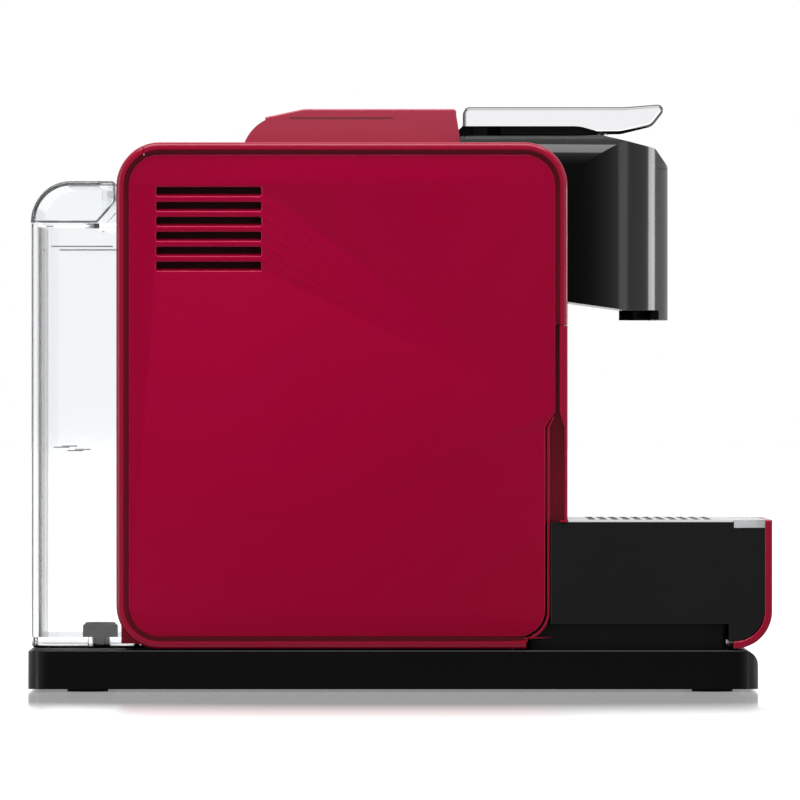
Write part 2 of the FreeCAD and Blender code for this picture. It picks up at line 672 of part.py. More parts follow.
def spine_profile(s, inset=0, rise=0):
    """The rounded hump above the red top."""
    inset = as_size(inset)
    x0, x1 = s.body_rear + s.spine_rear + inset, s.body_front - s.spine_front - inset
    crown = s.top + s.spine_height - inset
    return [corner(x0, s.top + rise), corner(x0 + s.spine_slope, crown, s.spine_radius - inset),
            corner(x1 - s.spine_lean, crown), corner(x1, s.top + rise)]


def make_spine(s):
    """The hump along the top, hollow, notched in front for the lever arms."""
    piece = Piece("top_spine")
    half = s.spine_width / 2
    piece.pad("XZ", -half, half, spine_profile(s))
    piece.cut("XZ", s.wall - half, half - s.wall, spine_profile(s, s.wall, -0.01))
    x0 = s.body_rear + s.spine_rear + s.slit_rear
    z0 = s.top + s.spine_height - 1.6
    for side in SIDES.values():
        low, high = between(half - s.slit_depth, half + 1, side)
        piece.cut("XZ", low, high, box(x0, z0, x0 + s.slit_length, z0 + s.slit_height))
    x1 = s.body_front - s.spine_front
    piece.cut("XY", s.top - 1, s.pivot_z, box(x1 - 6, -s.arm_out - 0.8, x1 + 1, s.arm_out + 0.8))


def make_spine_cap(s):
    """The red strip that lies over the hump."""
    piece = Piece("top_spine_cap")
    x0, x1 = s.body_rear + s.spine_rear + s.cap_rear, s.body_front - s.spine_front - s.spine_lean
    low = s.top + s.spine_height
    half = s.spine_width / 2
    piece.pad("XZ", -half, half, [
        corner(x0, low - 4), corner(x0, low - s.cap_dip), corner(x0 + s.cap_ramp, low + s.cap_thick, 14),
        corner(x1, low + s.cap_thick, 1.5), corner(x1, low - 1)])
    piece.round(0.8, along("X", lambda c: abs(c.z - (low + s.cap_thick).value) < 0.01))
    piece.cut("XZ", -half - 1, half + 1, spine_profile(s))


def make_head_shell(s):
    """The glossy black head in front of the body, open behind, with a flat tongue over the red top."""
    piece = Piece("head_shell")
    x0 = s.body_front - s.head_back
    high = s.head_z
    chin = s.body_front + s.chin_reach
    low = s.top - s.head_bottom
    piece.pad("XZ", -s.head_half, s.head_half, [
        corner(x0, s.top), corner(x0, high, 1.5), corner(s.body_front + s.slope_start, high + 0.5, 20),
        corner(s.nose - s.brow, high - s.slope_drop, s.head_round), corner(s.nose, high - s.brow_drop, s.head_round),
        corner(s.nose, low - s.chin_drop, 2),
        corner(chin, low - s.chin_drop, 3), corner(s.body_front, low),
        corner(s.body_front, s.top, s.shell_corner - 1)])
    reach = s.nose_radius + 30
    for side in SIDES.values():
        edge, out = s.head_half * side, (s.head_half + 2) * side
        inner = (s.head_half - s.nose_radius - 6) * side
        piece.cut("XY", s.seam_z - 5, high + 5, [
            corner(s.nose - reach, edge), corner(s.nose, edge, s.nose_radius), corner(s.nose, inner),
            corner(s.nose + 3, inner), corner(s.nose + 3, out), corner(s.nose - reach, out)])
    crown, turn = high + 0.5, s.shoulder * 2
    for side in SIDES.values():
        edge, out, inner = s.head_half * side, (s.head_half + 2) * side, (s.head_half - turn) * side
        piece.cut("YZ", x0 - 1, s.nose + 1, [
            corner(inner, crown), corner(edge, crown, s.shoulder), corner(edge, crown - turn),
            corner(out, crown - turn), corner(out, crown + 3), corner(inner, crown + 3)])
    half = s.head_half - s.wall
    inside = s.plate_x - s.wall
    piece.cut("XY", low + s.wall, s.top - 13, nose_box(s, s.body_front - 16, half, inside))
    piece.cut("XY", s.top - 13.5, s.top - 6, nose_box(s, s.body_front - 20, half - 3, inside - 4))
    piece.cut("XY", s.top - 6.5, s.top - s.wall, box(s.body_front - 20, -34, s.body_front + 23, 34, 3))
    piece.cut("YZ", s.plate_x, s.nose + 1,
              box(-s.head_half, s.top - s.spout_drop, s.head_half, s.top - s.plate_top))
    piece.cut("XY", s.top - 3, high + 3, box(x0 - 1, -s.lever_half - 0.6, s.pivot + 8, s.lever_half + 0.6))
    piece.cut("XY", s.top - 3, high + 3, box(s.pivot + 6, -s.frame_out - 0.4, s.body_front - 2, s.frame_out + 0.4, 2))
    piece.cut("XY", s.seam_z - 5, low + s.wall + 1, circle(s.spout, 0, s.spout_radius - s.sleeve_wall))
    piece.cut("YZ", inside - 4, s.nose, circle(0, s.top - s.port_drop, s.port_radius + s.fit_gap))


def nose_box(s, x0, half, x1):
    """A rectangle with its two front corners rounded like the nose."""
    radius = half - (s.head_half - s.nose_radius)
    return [corner(x0, -half), corner(x1, -half, radius), corner(x1, half, radius), corner(x0, half)]


def make_nose_plate(s):
    """The front plate of the head with the channel of the port door."""
    piece = Piece("front_plate")
    low, high = s.top - s.spout_drop, s.top - s.plate_top - 0.2
    piece.pad("XY", low, high, nose_box(s, s.nose - 60, s.head_half, s.nose))
    piece.cut("XY", low, high, box(s.nose - 61, -s.head_half - 1, s.plate_x, s.head_half + 1))
    chin = s.top - s.head_bottom - s.chin_drop
    for side in SIDES.values():
        a, b = between(s.spout_radius + 1.5, s.head_half - s.nose_radius / 2, side)
        piece.pad("XZ", a, b, box(s.plate_x - s.chin_web, low, s.plate_x + 0.5, chin - 0.2))
    piece.cut("YZ", s.nose - s.door_thick - 0.1, s.nose + 1,
              box(-s.door_half - s.fit_gap, low + 16, s.door_half + s.fit_gap, high - 1))
    piece.cut("YZ", s.plate_x - 1, s.nose, circle(0, s.top - s.port_drop, s.port_radius + s.fit_gap))


def make_port_door(s):
    """The small door that slides up to bare the steam port."""
    piece = Piece("port_door")
    middle = s.top - s.port_drop
    low = middle - s.door_height / 2
    x0 = s.nose - s.door_thick
    piece.pad("YZ", x0, s.nose, box(-s.door_half, low, s.door_half, low + s.door_height, 1))
    ribs = [box(-5, low + 3 + 2 * i, 5, low + 4 + 2 * i, 0.4) for i in range(3)]
    piece.cut("YZ", s.nose - 0.5, s.nose + 1, *ribs)


def make_steam_port(s):
    """The nozzle behind the door that a milk jug docks with."""
    piece = Piece("steam_port")
    z = s.top - s.port_drop
    x0, x1 = s.plate_x - s.wall - 6, s.nose - s.door_thick - 0.5
    piece.pad("YZ", x0, x1, circle(0, z, s.port_radius))
    piece.cut("YZ", x0, x1, circle(0, z, s.port_bore))


def make_spout(s):
    """The coffee outlet under the head."""
    piece = Piece("coffee_spout")
    low, high = s.top - s.spout_drop, s.top - s.head_bottom - s.chin_drop
    piece.pad("XY", low, high, circle(s.spout, 0, s.spout_radius))
    piece.cut("XY", low, high, circle(s.spout, 0, s.spout_radius - s.sleeve_wall))


def make_spout_funnel(s):
    """The funnel inside the outlet that gathers the coffee."""
    piece = Piece("spout_funnel")
    low, high = s.top - s.spout_drop + 1, s.top - s.head_bottom + s.wall
    radius = s.spout_radius - s.sleeve_wall - s.fit_gap
    piece.pad("XY", low, high, circle(s.spout, 0, radius))
    piece.cut("XY", low, high, circle(s.spout, 0, s.spout_bore))


def lever_profile(s, inset=0):
    """The lever seen from the side."""
    inset = as_size(inset)
    tip = s.body_front + s.lever_tip - inset * 2
    return [corner(s.lever_rear + inset, s.lever_low), corner(s.lever_rear + inset, s.lever_high - inset, 3),
            corner(tip - 20, s.lever_high - inset, 30), corner(tip, s.lever_high + s.lever_tip_rise - inset, 2.6),
            corner(tip - 8, s.lever_low + 3.4, 6), corner(tip - 22, s.lever_low, 8)]


def make_lever_skin(s):
    """The bright metal skin of the lever."""
    piece = Piece("lever_skin")
    half = s.lever_half
    piece.pad("XZ", -half, half, lever_profile(s))
    piece.round(s.lever_round, in_plane("Y", half, -half))
    deep = half - s.skin_wall
    x0, x1 = s.lever_rear + s.skin_wall, s.body_front + s.lever_tip - 26
    high = s.lever_high - s.skin_wall
    piece.cut("XZ", -deep, deep, [corner(x0, s.lever_low - 1), corner(x0, high), corner(x1 + 12, high),
                                  corner(x1 + 12, high - 4, 4), corner(x1, s.lever_low + 1.4, 4),
                                  corner(x1 - 6, s.lever_low - 1)])
    piece.cut("XZ", -half - 1, half + 1, [
        corner(s.lever_rear - 1, s.lever_low - 1), corner(s.lever_rear - 1, s.lever_low + s.skin_rise),
        corner(x1 - 14, s.lever_low + s.skin_rise, 20), corner(x1 + 2, s.lever_low - 1)])
    for side in SIDES.values():
        low, high_y = between(s.yoke_in - 4.5, s.frame_out + 0.4, side)
        piece.cut("XZ", low, high_y, box(s.lever_rear - 1, s.lever_low - 1, s.lever_rear + 3,
                                         s.lever_high - s.skin_wall))


def make_lever_body(s):
    """The dark core of the lever with its two crank arms."""
    piece = Piece("lever_body")
    wide = s.lever_half - s.skin_wall
    x0, x1 = s.pivot + 9, s.body_front + s.lever_tip - 26
    high = s.lever_high - s.skin_wall
    piece.pad("XZ", -wide, wide, [corner(x0, s.lever_low), corner(x0, high), corner(x1 + 4, high),
                                  corner(x1 - 6, s.lever_low)])
    piece.cut("XY", s.lever_low + 2, high, *[box(x0 + 3 + 13 * i, y, x0 + 13 + 13 * i, y + 24, 1)
                                            for i in range(3) for y in (as_size(-27), as_size(3))])
    grow = s.crank_half_width
    for side in SIDES.values():
        low, top = between(s.arm_in, s.arm_out, side)
        piece.pad("XZ", low, top, [
            corner(x0 + 2, s.lever_low + 1), corner(x0 + 2, high - 1), corner(s.pivot - 2, high - 1, 3),
            corner(s.crank_x - grow * 1.3, s.crank_z + grow * 0.4, grow * 0.6),
            corner(s.crank_x + grow * 0.2, s.crank_z - grow * 1.3, grow * 0.6),
            corner(s.pivot + 5, s.lever_low - 0.5, 5)])
    holes = [circle(s.pivot, s.pivot_z, s.pin_radius + s.run_fit), circle(s.crank_x, s.crank_z, s.crank_pin)]
    piece.cut("XZ", -s.arm_out, s.arm_out, *holes)


def make_crank_pins(s):
    """The two pins that drive the cage, pressed in the lever's arms."""
    piece = Piece("crank_pins")
    for side in SIDES.values():
        low, high = between(s.arm_in, s.yoke_out, side)
        piece.pad("XZ", low, high, circle(s.crank_x, s.crank_z, s.crank_pin))


def make_pivot_pin(s):
    """The rod that the lever turns on."""
    piece = Piece("lever_pivot_pin")
    piece.pad("XZ", -s.frame_out, s.frame_out, circle(s.pivot, s.pivot_z, s.pin_radius))


def make_brew_frame(s):
    """The two side plates and the floor that hold the brewing group together."""
    piece = Piece("brew_frame")
    x0, x1 = s.body_front - s.frame_back, s.body_front + s.frame_front
    low, high = s.brew_floor, s.top - s.wall - 1
    step = s.top - s.head_bottom + s.wall
    ear = s.ear_radius
    for side in SIDES.values():
        a, b = between(s.frame_in, s.frame_out, side)
        piece.pad("XZ", a, b, [
            corner(x0, low), corner(x0, high), corner(s.pivot - ear, high),
            corner(s.pivot - ear, s.pivot_z + ear, ear * 0.99), corner(s.pivot + ear, s.pivot_z + ear, ear * 0.99),
            corner(s.pivot + ear, high), corner(x1, high, 4), corner(x1, step + 1, 4),
            corner(s.body_front - s.wall - 4, step + 1), corner(s.body_front - s.wall - 4, low)])
        a, b = between(s.yoke_in, s.frame_in + 0.5, side)
        rail = s.brew_z - 10
        piece.pad("XZ", a, b, box(x0 + 3, rail - s.sled_rail, x1 - 4, rail))
        window = [box(x0 + 8, s.brew_z - 4, s.pivot - 8, s.brew_z + 20, 4),
                  box(s.pivot + 8, s.brew_z - 4, x1 - 10, s.brew_z + 20, 4)]
        a, b = between(s.frame_in, s.frame_out, side)
        piece.cut("XZ", a, b, *window)
    piece.pad("XY", low, low + 3, box(x0, -s.frame_out, s.body_front - s.wall - 4, s.frame_out))
    piece.cut("XY", low, low + 3, box(s.brew_x + 1, -20, s.brew_x + 23, 20, 3))
    piece.cut("XZ", -s.frame_out, s.frame_out, circle(s.pivot, s.pivot_z, s.pin_radius))
    lugs = [box(x0 - 7, s.frame_in * side - 5, x0 + 0.5, s.frame_in * side + 5) for side in (-1, 1)]
    piece.pad("XY", low, low + 3, *lugs)


def make_injection_block(s):
    """The fixed half of the brewing chamber."""
    piece = Piece("injection_block")
    low, x1 = s.brew_floor + 3, s.brew_x
    x0 = x1 - s.block_length
    piece.pad("XY", low, s.brew_z, box(x0, -s.block_half, x1, s.block_half, 1))
    piece.pad("YZ", x0, x1, circle(0, s.brew_z, s.block_half))
    spikes = [circle(7 * math.cos(a), s.brew_z + 7 * math.sin(a), 1.1) for a in (0.5, 2.6, 4.7)]
    piece.pad("YZ", x1 - 1, x1 + 3.5, *spikes)
    piece.cut("YZ", x0, x0 + 10, circle(0, s.brew_z, s.pipe_radius + 0.3))


def make_cage(s):
    """The moving cup of the brewing chamber with its two yoke arms."""
    piece = Piece("capsule_cage")
    x0, x1 = s.brew_x + 1.2, s.brew_x + s.cage_length + 4
    piece.pad("YZ", x0, x1, circle(0, s.brew_z, s.cage_radius))
    piece.pad("YZ", x1 - 8, x1, box(-s.yoke_in - 1, s.brew_z - 9, s.yoke_in + 1, s.brew_z + 9, 1))
    piece.cut("YZ", x0 - 1, x1 - 4, circle(0, s.brew_z, s.cage_bore))
    piece.cut("YZ", x1 - 5, x1, circle(0, s.brew_z - 8, 2.5))
    high, low = s.top - s.wall - 0.3, s.brew_z - 10
    back = s.crank_x - s.crank_pin - s.yoke_play - 3
    nose = s.crank_x + s.crank_pin + s.yoke_play + 3
    for side in SIDES.values():
        a, b = between(s.yoke_in, s.yoke_out, side)
        piece.pad("XZ", a, b, [
            corner(x1 - 20, low, 2), corner(x1, low, 2), corner(x1, s.brew_z + 9, 5),
            corner(x1 - 10, s.brew_z + 14, 5), corner(nose, s.crank_z - 11), corner(nose, high, 2),
            corner(back, high, 2), corner(back, s.crank_z - 16, 4), corner(x1 - 26, s.brew_z + 2, 6)])
        reach = s.crank_pin + s.yoke_play
        piece.cut("XZ", a, b, box(s.crank_x - reach, s.crank_z - 11, s.crank_x + reach, high - 1.2, 2))


def make_cage_seal(s):
    """The ring on the rim of the cage."""
    piece = Piece("cage_seal")
    x0 = s.brew_x
    piece.pad("YZ", x0, x0 + 1.2, circle(0, s.brew_z, s.cage_radius))
    piece.cut("YZ", x0, x0 + 1.2, circle(0, s.brew_z, s.cage_bore + 0.5))


def make_chute(s):
    """The slope that turns the falling capsule into the bin."""
    piece = Piece("capsule_chute")
    low = s.brew_floor + 3
    x1 = s.brew_x + s.cage_length + 8
    piece.pad("XZ", -19, 19, [corner(s.brew_x + 24, low), corner(s.brew_x + 24, low + 1), corner(x1 - 6, low + 9),
                              corner(x1 - 6, low)])


def make_tank(s):
    """The clear water tank with its closed deck in front and its two hinge lugs."""
    piece = Piece("water_tank")
    half, low, high = s.tank_half, s.tank_low, s.tank_high
    piece.pad("XY", low, high, box(s.tank_rear, -half, s.tank_front, half, s.tank_corner))
    piece.round(2, in_plane("Z", low))
    piece.cut("XY", low + s.tank_floor, high - s.tank_wall,
              box(s.tank_rear + s.tank_wall, s.tank_wall - half, s.tank_front - s.tank_wall,
                  half - s.tank_wall, s.tank_corner - s.tank_wall))
    deck = s.tank_front - s.tank_deck
    piece.cut("XY", high - s.tank_wall, high,
              box(s.tank_rear + s.tank_wall, s.tank_wall - half, deck, half - s.tank_wall, s.tank_corner - s.tank_wall))
    for side in SIDES.values():
        a, b = between(half - 22, half - 16, side)
        r = s.hinge_radius
        piece.pad("XZ", a, b, [corner(s.hinge - r, high - 1), corner(s.hinge - r, s.hinge_z + r, r * 0.99),
                               corner(s.hinge + r, s.hinge_z + r, r * 0.99), corner(s.hinge + r, high - 1)])
        piece.cut("XZ", a, b, circle(s.hinge, s.hinge_z, s.pin_radius + s.run_fit))
    piece.cut("XY", low, low + s.tank_floor, circle(s.valve, 0, s.valve_radius + s.fit_gap))
    ribs = [box(s.tank_rear + s.tank_wall - 0.2, y - 0.5, s.tank_rear + s.tank_wall + 0.6, y + 0.5)
            for y in (as_size(-40), as_size(40))]
    piece.pad("XY", low + s.tank_floor, high - s.mark_rise, *ribs)


def make_tank_lid(s):
    """The lid of the tank, hinged near the body."""
    piece = Piece("tank_lid")
    x1 = s.tank_rear + s.lid_front
    low, high = s.tank_high + 0.2, s.tank_high + s.lid_height
    half = s.tank_half
    piece.pad("XZ", -half, half, [corner(s.tank_rear, low), corner(s.tank_rear, high, s.lid_radius - 1),
                                  corner(x1, high, 1.5), corner(x1, s.hinge_z - 4), corner(x1 - 8, low)])
    piece.round(1.5, in_plane("Y", half, -half))
    wall = s.lid_wall
    piece.cut("XZ", wall - half, half - wall, [
        corner(s.tank_rear + wall, low - 1), corner(s.tank_rear + wall, high - wall, s.lid_radius - 1 - wall),
        corner(x1 + 1, high - wall), corner(x1 + 1, low - 1)])
    for side in SIDES.values():
        a, b = between(half - 15.6, half - 10, side)
        r = s.hinge_radius
        piece.pad("XZ", a, b, box(s.hinge - r, s.hinge_z - r, s.hinge + r, high - wall + 0.5, 1))
        piece.cut("XZ", a, b, circle(s.hinge, s.hinge_z, s.pin_radius))


def make_lid_pins(s):
    """The two short pins of the lid hinge."""
    piece = Piece("lid_hinge_pins")
    for side in SIDES.values():
        a, b = between(s.tank_half - 22, s.tank_half - 10, side)
        piece.pad("XZ", a, b, circle(s.hinge, s.hinge_z, s.pin_radius))


def make_tank_valve(s):
    """The valve in the tank's floor."""
    piece = Piece("tank_valve")
    low = s.tank_low
    piece.pad("XY", low, low + s.tank_floor, circle(s.valve, 0, s.valve_radius))
    piece.pad("XY", low + s.tank_floor, low + s.tank_floor + s.valve_height, circle(s.valve, 0, s.valve_radius + 3))
    piece.cut("XY", low, low + s.tank_floor + s.valve_height - 1.5, circle(s.valve, 0, s.valve_radius - 2))
    piece.round(1.5, in_plane("Z", low + s.tank_floor + s.valve_height), "Chamfer")


def make_valve_spring(s):
    """The spring that keeps the tank's valve shut, drawn as stacked rings."""
    piece = Piece("valve_spring")
    low = s.tank_low + 1
    rings = 4
    for i in range(rings):
        z = low + i * 2
        piece.pad("XY", z, z + 1, circle(s.valve, 0, 2.5))
    piece.cut("XY", low, low + 7, circle(s.valve, 0, 1.7))


def make_coupling(s):
    """The socket on the base that the tank plugs onto."""
    piece = Piece("tank_coupling")
    piece.pad("XY", s.base_top, s.tank_low, circle(s.valve, 0, 9))
    piece.cut("XY", s.base_top, s.tank_low, circle(s.valve, 0, 2))


def make_tub(s):
    """The black drawer: a drip tub in front and a floor behind that carries the capsule bin."""
    piece = Piece("drawer_tray")
    w, half = s.wall, s.tub_half
    piece.pad("XZ", -half, half, [
        corner(s.tub_rear, s.rail), corner(s.tub_rear, s.tub_top), corner(s.tub_front, s.tub_top),
        corner(s.tub_front, s.base_top + s.skin_thick + 0.6, s.skin_radius - 2),
        corner(s.slot_end, s.base_top + s.skin_thick + 0.6), corner(s.slot_end, s.rail)])
    piece.round(0.8, along("Z", lambda c: c.x < s.tub_rear.value + 1))
    piece.cut("XY", s.sled, s.tub_top, box(s.tub_rear + w, w - half, s.tub_front - w, half - w, 4))
    width = s.bay_wall - w - 0.6
    piece.pad("XY", s.rail, s.sled, box(s.partition_x + w + 1, -width, s.tub_rear + 1, width))
    piece.cut("XY", s.tub_top - s.lip_drop, s.tub_top,
              box(s.tub_front - s.lip_length - 0.1, -half, s.tub_front, half))


def make_drawer_skin(s):
    """The red front of the drawer, curved under at the toe."""
    piece = Piece("drawer_front")
    low, high, t = s.base_top + 0.6, s.tub_top + 0.9, s.skin_thick
    x = s.front
    toe = x - s.skin_toe
    piece.pad("XZ", -s.half, s.half, [
        corner(x, high), corner(x, low, s.skin_radius), corner(toe, low), corner(toe, low + t),
        corner(x - t, low + t, s.skin_radius - t), corner(x - t, high)])
    piece.round(0.7, in_plane("Y", s.half, -s.half))


def make_drawer_lip(s):
    """The clear strip between the grid and the red front."""
    piece = Piece("drawer_lip")
    x0 = s.tub_front - s.lip_length
    piece.pad("XY", s.tub_top - s.lip_drop, s.tub_top + 0.9, box(x0, -s.tub_half, s.tub_front, s.tub_half))
    piece.round(0.6, along("Y", lambda c: c.z > s.tub_top.value and c.x < x0.value + 1))


def make_fascia(s):
    """The upright red front of the drawer with finger grips at both ends."""
    piece = Piece("drawer_fascia")
    x1 = s.body_front
    x0 = x1 - s.fascia_thick
    low, high = s.tub_top, s.seam_z - 0.3
    piece.pad("YZ", x0, x1, box(-s.half, low, s.half, high))
    piece.round(0.8, along("Z", lambda c: c.x > x1.value - 0.1))
    g0, g1 = s.tub_top + 0.9, s.floor + s.grip_top
    x2 = x1 - s.grip_lip
    for side in SIDES.values():
        a, b = between(s.half - s.grip_reach, s.half + 1, side)
        piece.cut("XZ", a, b, [corner(x0 - 1, g0), corner(x2, g0), corner(x2, g1 - s.grip_slope, 2.5),
                               corner(x0, g1), corner(x0 - 1, g1)])
        a, b = between(s.half - s.grip_reach - s.grip_web, s.half - s.grip_reach, side)
        piece.pad("XZ", a, b, box(x0 - s.web_depth, low, x0 + 0.5, s.shelf - 0.2))
    piece.cut("YZ", x0 - 1, x1 - s.wall, box(12 - s.half, low + 4, s.half - 12, high - 4, 3))


def make_bin(s):
    """The bin that catches used capsules."""
    piece = Piece("capsule_bin")
    x0, x1 = s.partition_x + s.wall + 3, s.tub_rear - 1
    half = s.bay_wall - s.wall - s.bin_gap
    low, high = s.sled, s.shelf - s.bin_head_gap
    t = s.bin_wall
    piece.pad("XY", low, high, box(x0, -half, x1, half, 8))
    piece.cut("XY", low + t, high, box(x0 + t, t - half, x1 - t, half - t, 8 - t))
    piece.cut("YZ", x1 - t - 1, x1 + 1, box(-20, high - 14, 20, high + 1))


def make_grid(s):
    """The metal grid that the cup stands on."""
    piece = Piece("drip_grid")
    x0, x1 = s.body_front + 0.3, s.tub_front - s.lip_length - 0.3
    low = s.tub_top
    half = s.tub_half - 0.3
    piece.pad("XY", low, low + s.grid_thick, box(x0, -half, x1, half))
    inner = half - 6
    pad_low = low - 3
    piece.pad("XY", pad_low, low, box(x0 + 4, -inner, x1 - 4, inner, 3), box(x0 + 6, 2 - inner, x1 - 6, inner - 2, 2))
    step = (x1 - x0 - 16) / s.grid_count
    x = x0 + 8 + (step - s.grid_slot) / 2
    slots = [box(x, 6 - inner, x + s.grid_slot, -3, 1.4), box(x, 3, x + s.grid_slot, inner - 6, 1.4)]
    piece.cut("XY", low, low + s.grid_thick, *slots)
    piece.repeat("X_Axis", step * (s.grid_count - 1), s.grid_count)


def make_pump(s):
    """The vibration pump, lying across the works on two dampers."""
    piece = Piece("pump")
    x, z = s.body_rear + s.pump_x, s.deck + s.wall + s.pump_seat + s.pump_radius
    length = s.pump_length / 2
    piece.pad("XZ", -length, length, circle(x, z, s.pump_radius - 5))
    piece.pad("XZ", -18, 18, box(x - s.pump_radius, z - s.pump_radius, x + s.pump_radius, z + s.pump_radius, 3))
    piece.pad("XZ", length, length + 6, circle(x, z, s.hose_radius))
    piece.pad("XZ", -length - 6, -length, circle(x, z, s.hose_radius))


def make_dampers(s):
    """Two rubber saddles under the pump."""
    piece = Piece("pump_dampers")
    x, low = s.body_rear + s.pump_x, s.deck + s.wall
    for y in (-14, 8):
        piece.pad("XZ", y, y + 6, box(x - 12, low, x + 12, low + s.pump_seat, 1))


def make_heater(s):
    """The aluminium heating block."""
    piece = Piece("thermoblock")
    x0, z0 = s.back_wall + s.heater_x, s.floor + s.heater_lift
    y0 = s.heater_y - s.heater_depth / 2
    piece.pad("XZ", y0, y0 + s.heater_depth, box(x0, z0, x0 + s.heater_length, z0 + s.heater_height, 4))
    fins = [box(x0 + 4 + 10 * i, y0 - 2, x0 + 7 + 10 * i, y0 + 1) for i in range(6)]
    piece.pad("XY", z0 + 4, z0 + s.heater_height - 4, *fins)


def make_thermostats(s):
    """Two temperature cut-outs on the heating block."""
    piece = Piece("thermostats")
    x0, z0 = s.back_wall + s.heater_x, s.floor + s.heater_lift
    y0 = s.heater_y + s.heater_depth / 2
    spots = [circle(x0 + x, z0 + s.heater_height / 2, 7) for x in (16, 44)]
    piece.pad("XZ", y0, y0 + 5, *spots)


def make_board(s):
    """The mains and control board, standing at one side."""
    piece = Piece("power_board")
    x0, z0 = s.back_wall + s.board_x, s.deck + s.wall
    y0 = s.board_y - s.half
    z1 = z0 + s.board_lift
    piece.pad("XZ", y0, y0 + s.board_thick, box(x0, z0, x0 + s.board_length, z1 + s.board_height, 1))
    t = y0 + s.board_thick
    piece.pad("XZ", t, t + 14, box(x0 + 8, z1 + 8, x0 + 30, z1 + 30, 1), box(x0 + 44, z1 + 12, x0 + 66, z1 + 26, 1))
    piece.pad("XZ", t, t + 9, circle(x0 + 18, z1 + 60, 7), circle(x0 + 40, z1 + 60, 7), box(
        x0 + 54, z1 + 48, x0 + 72, z1 + 70, 1))


def make_meter(s):
    """The flow meter between tank and pump."""
    piece = Piece("flow_meter")
    (x, y), low = meter_place(s), s.deck + s.wall
    piece.pad("XY", low, low + s.meter_height, circle(x, y, s.meter_radius))
    piece.pad("XY", low + s.meter_height, low + s.meter_height + 2, circle(x, y, s.meter_radius - 3))


def make_valve_block(s):
    """The valve that sends the hot water to the chamber or to the steam port."""
    piece = Piece("solenoid_valve")
    x0, y0 = s.partition_x - 30, s.heater_y - 6
    low = s.brew_floor
    piece.pad("XY", low, low + s.valve_side, box(x0, y0, x0 + s.valve_side, y0 + s.valve_side, 1))
    piece.pad("XY", low + s.valve_side, low + s.valve_side + 16, circle(x0 + 9, y0 + 9, 7))


def make_switch(s):
    """The housing of the mains switch behind the left panel."""
    piece = Piece("switch_frame")
    cx, cz = s.body_rear + s.switch_x, s.floor + s.switch_z
    g = s.fit_gap
    outer = box(cx + g, cz + g, cx + s.switch_length - g, cz + s.switch_width - g, 1)
    inner = box(cx + 2, cz + 2, cx + s.switch_length - 2, cz + s.switch_width - 2, 0.5)
    piece.pad("XZ", s.lip_back, s.half - s.panel_step, outer, inner)
    flange = box(cx - 2, cz - 2, cx + s.switch_length + 2, cz + s.switch_width + 2, 1)
    piece.pad("XZ", s.lip_back - 8, s.lip_back, flange)
    piece.cut("XZ", s.lip_back - 5, s.lip_back, inner)
    piece.cut("XY", cz + 0.6, cz + s.switch_width - 0.6,
              circle(cx + s.switch_length / 2, s.rocker_pivot, s.rocker_pin + s.run_fit))


def make_rocker(s):
    """The rocker of the mains switch."""
    piece = Piece("power_rocker")
    cx, cz = s.body_rear + s.switch_x, s.floor + s.switch_z
    x0, x1 = cx + 2.5, cx + s.switch_length - 2.5
    middle = (x0 + x1) / 2
    y0, y1 = s.lip_back - 2, s.half - s.panel_step + 0.2
    piece.pad("XY", cz + 2.4, cz + s.switch_width - 2.4, [
        corner(x0, y0 + 1), corner(x0, y1 + s.rocker_proud), corner(middle, y1), corner(x1, y1), corner(x1, y0 + 1),
        corner(middle, y0)])
    piece.pad("XY", cz + 0.8, cz + s.switch_width - 0.8,
              circle(cx + s.switch_length / 2, s.rocker_pivot, s.rocker_pin))


def make_heater_pipe(s):
    """The short riser from the heating block through the shelf to the valve."""
    piece = Piece("heater_pipe")
    x, y = s.partition_x - 21, s.heater_y + 3
    low = s.floor + s.heater_lift + s.heater_height
    piece.pad("XY", low, s.brew_floor, circle(x, y, s.pipe_radius))
    piece.cut("XY", low, s.brew_floor, circle(x, y, s.pipe_bore))


def make_vent_screens(s):
    """The dark felt behind the louvres of both panels."""
    piece = Piece("vent_screens")
    x0, z1 = s.body_rear + s.vent_rear - 2, s.top - s.vent_drop + s.vent_height / 2 + 2
    x1, z0 = x0 + s.vent_length + 4, z1 - s.vent_pitch * (s.vent_count - 1) - s.vent_height - 4
    for side in SIDES.values():
        low, high = between(s.lip_back - 1.2, s.lip_back, side)
        piece.pad("XZ", low, high, box(x0, z0, x1, z1, 1))


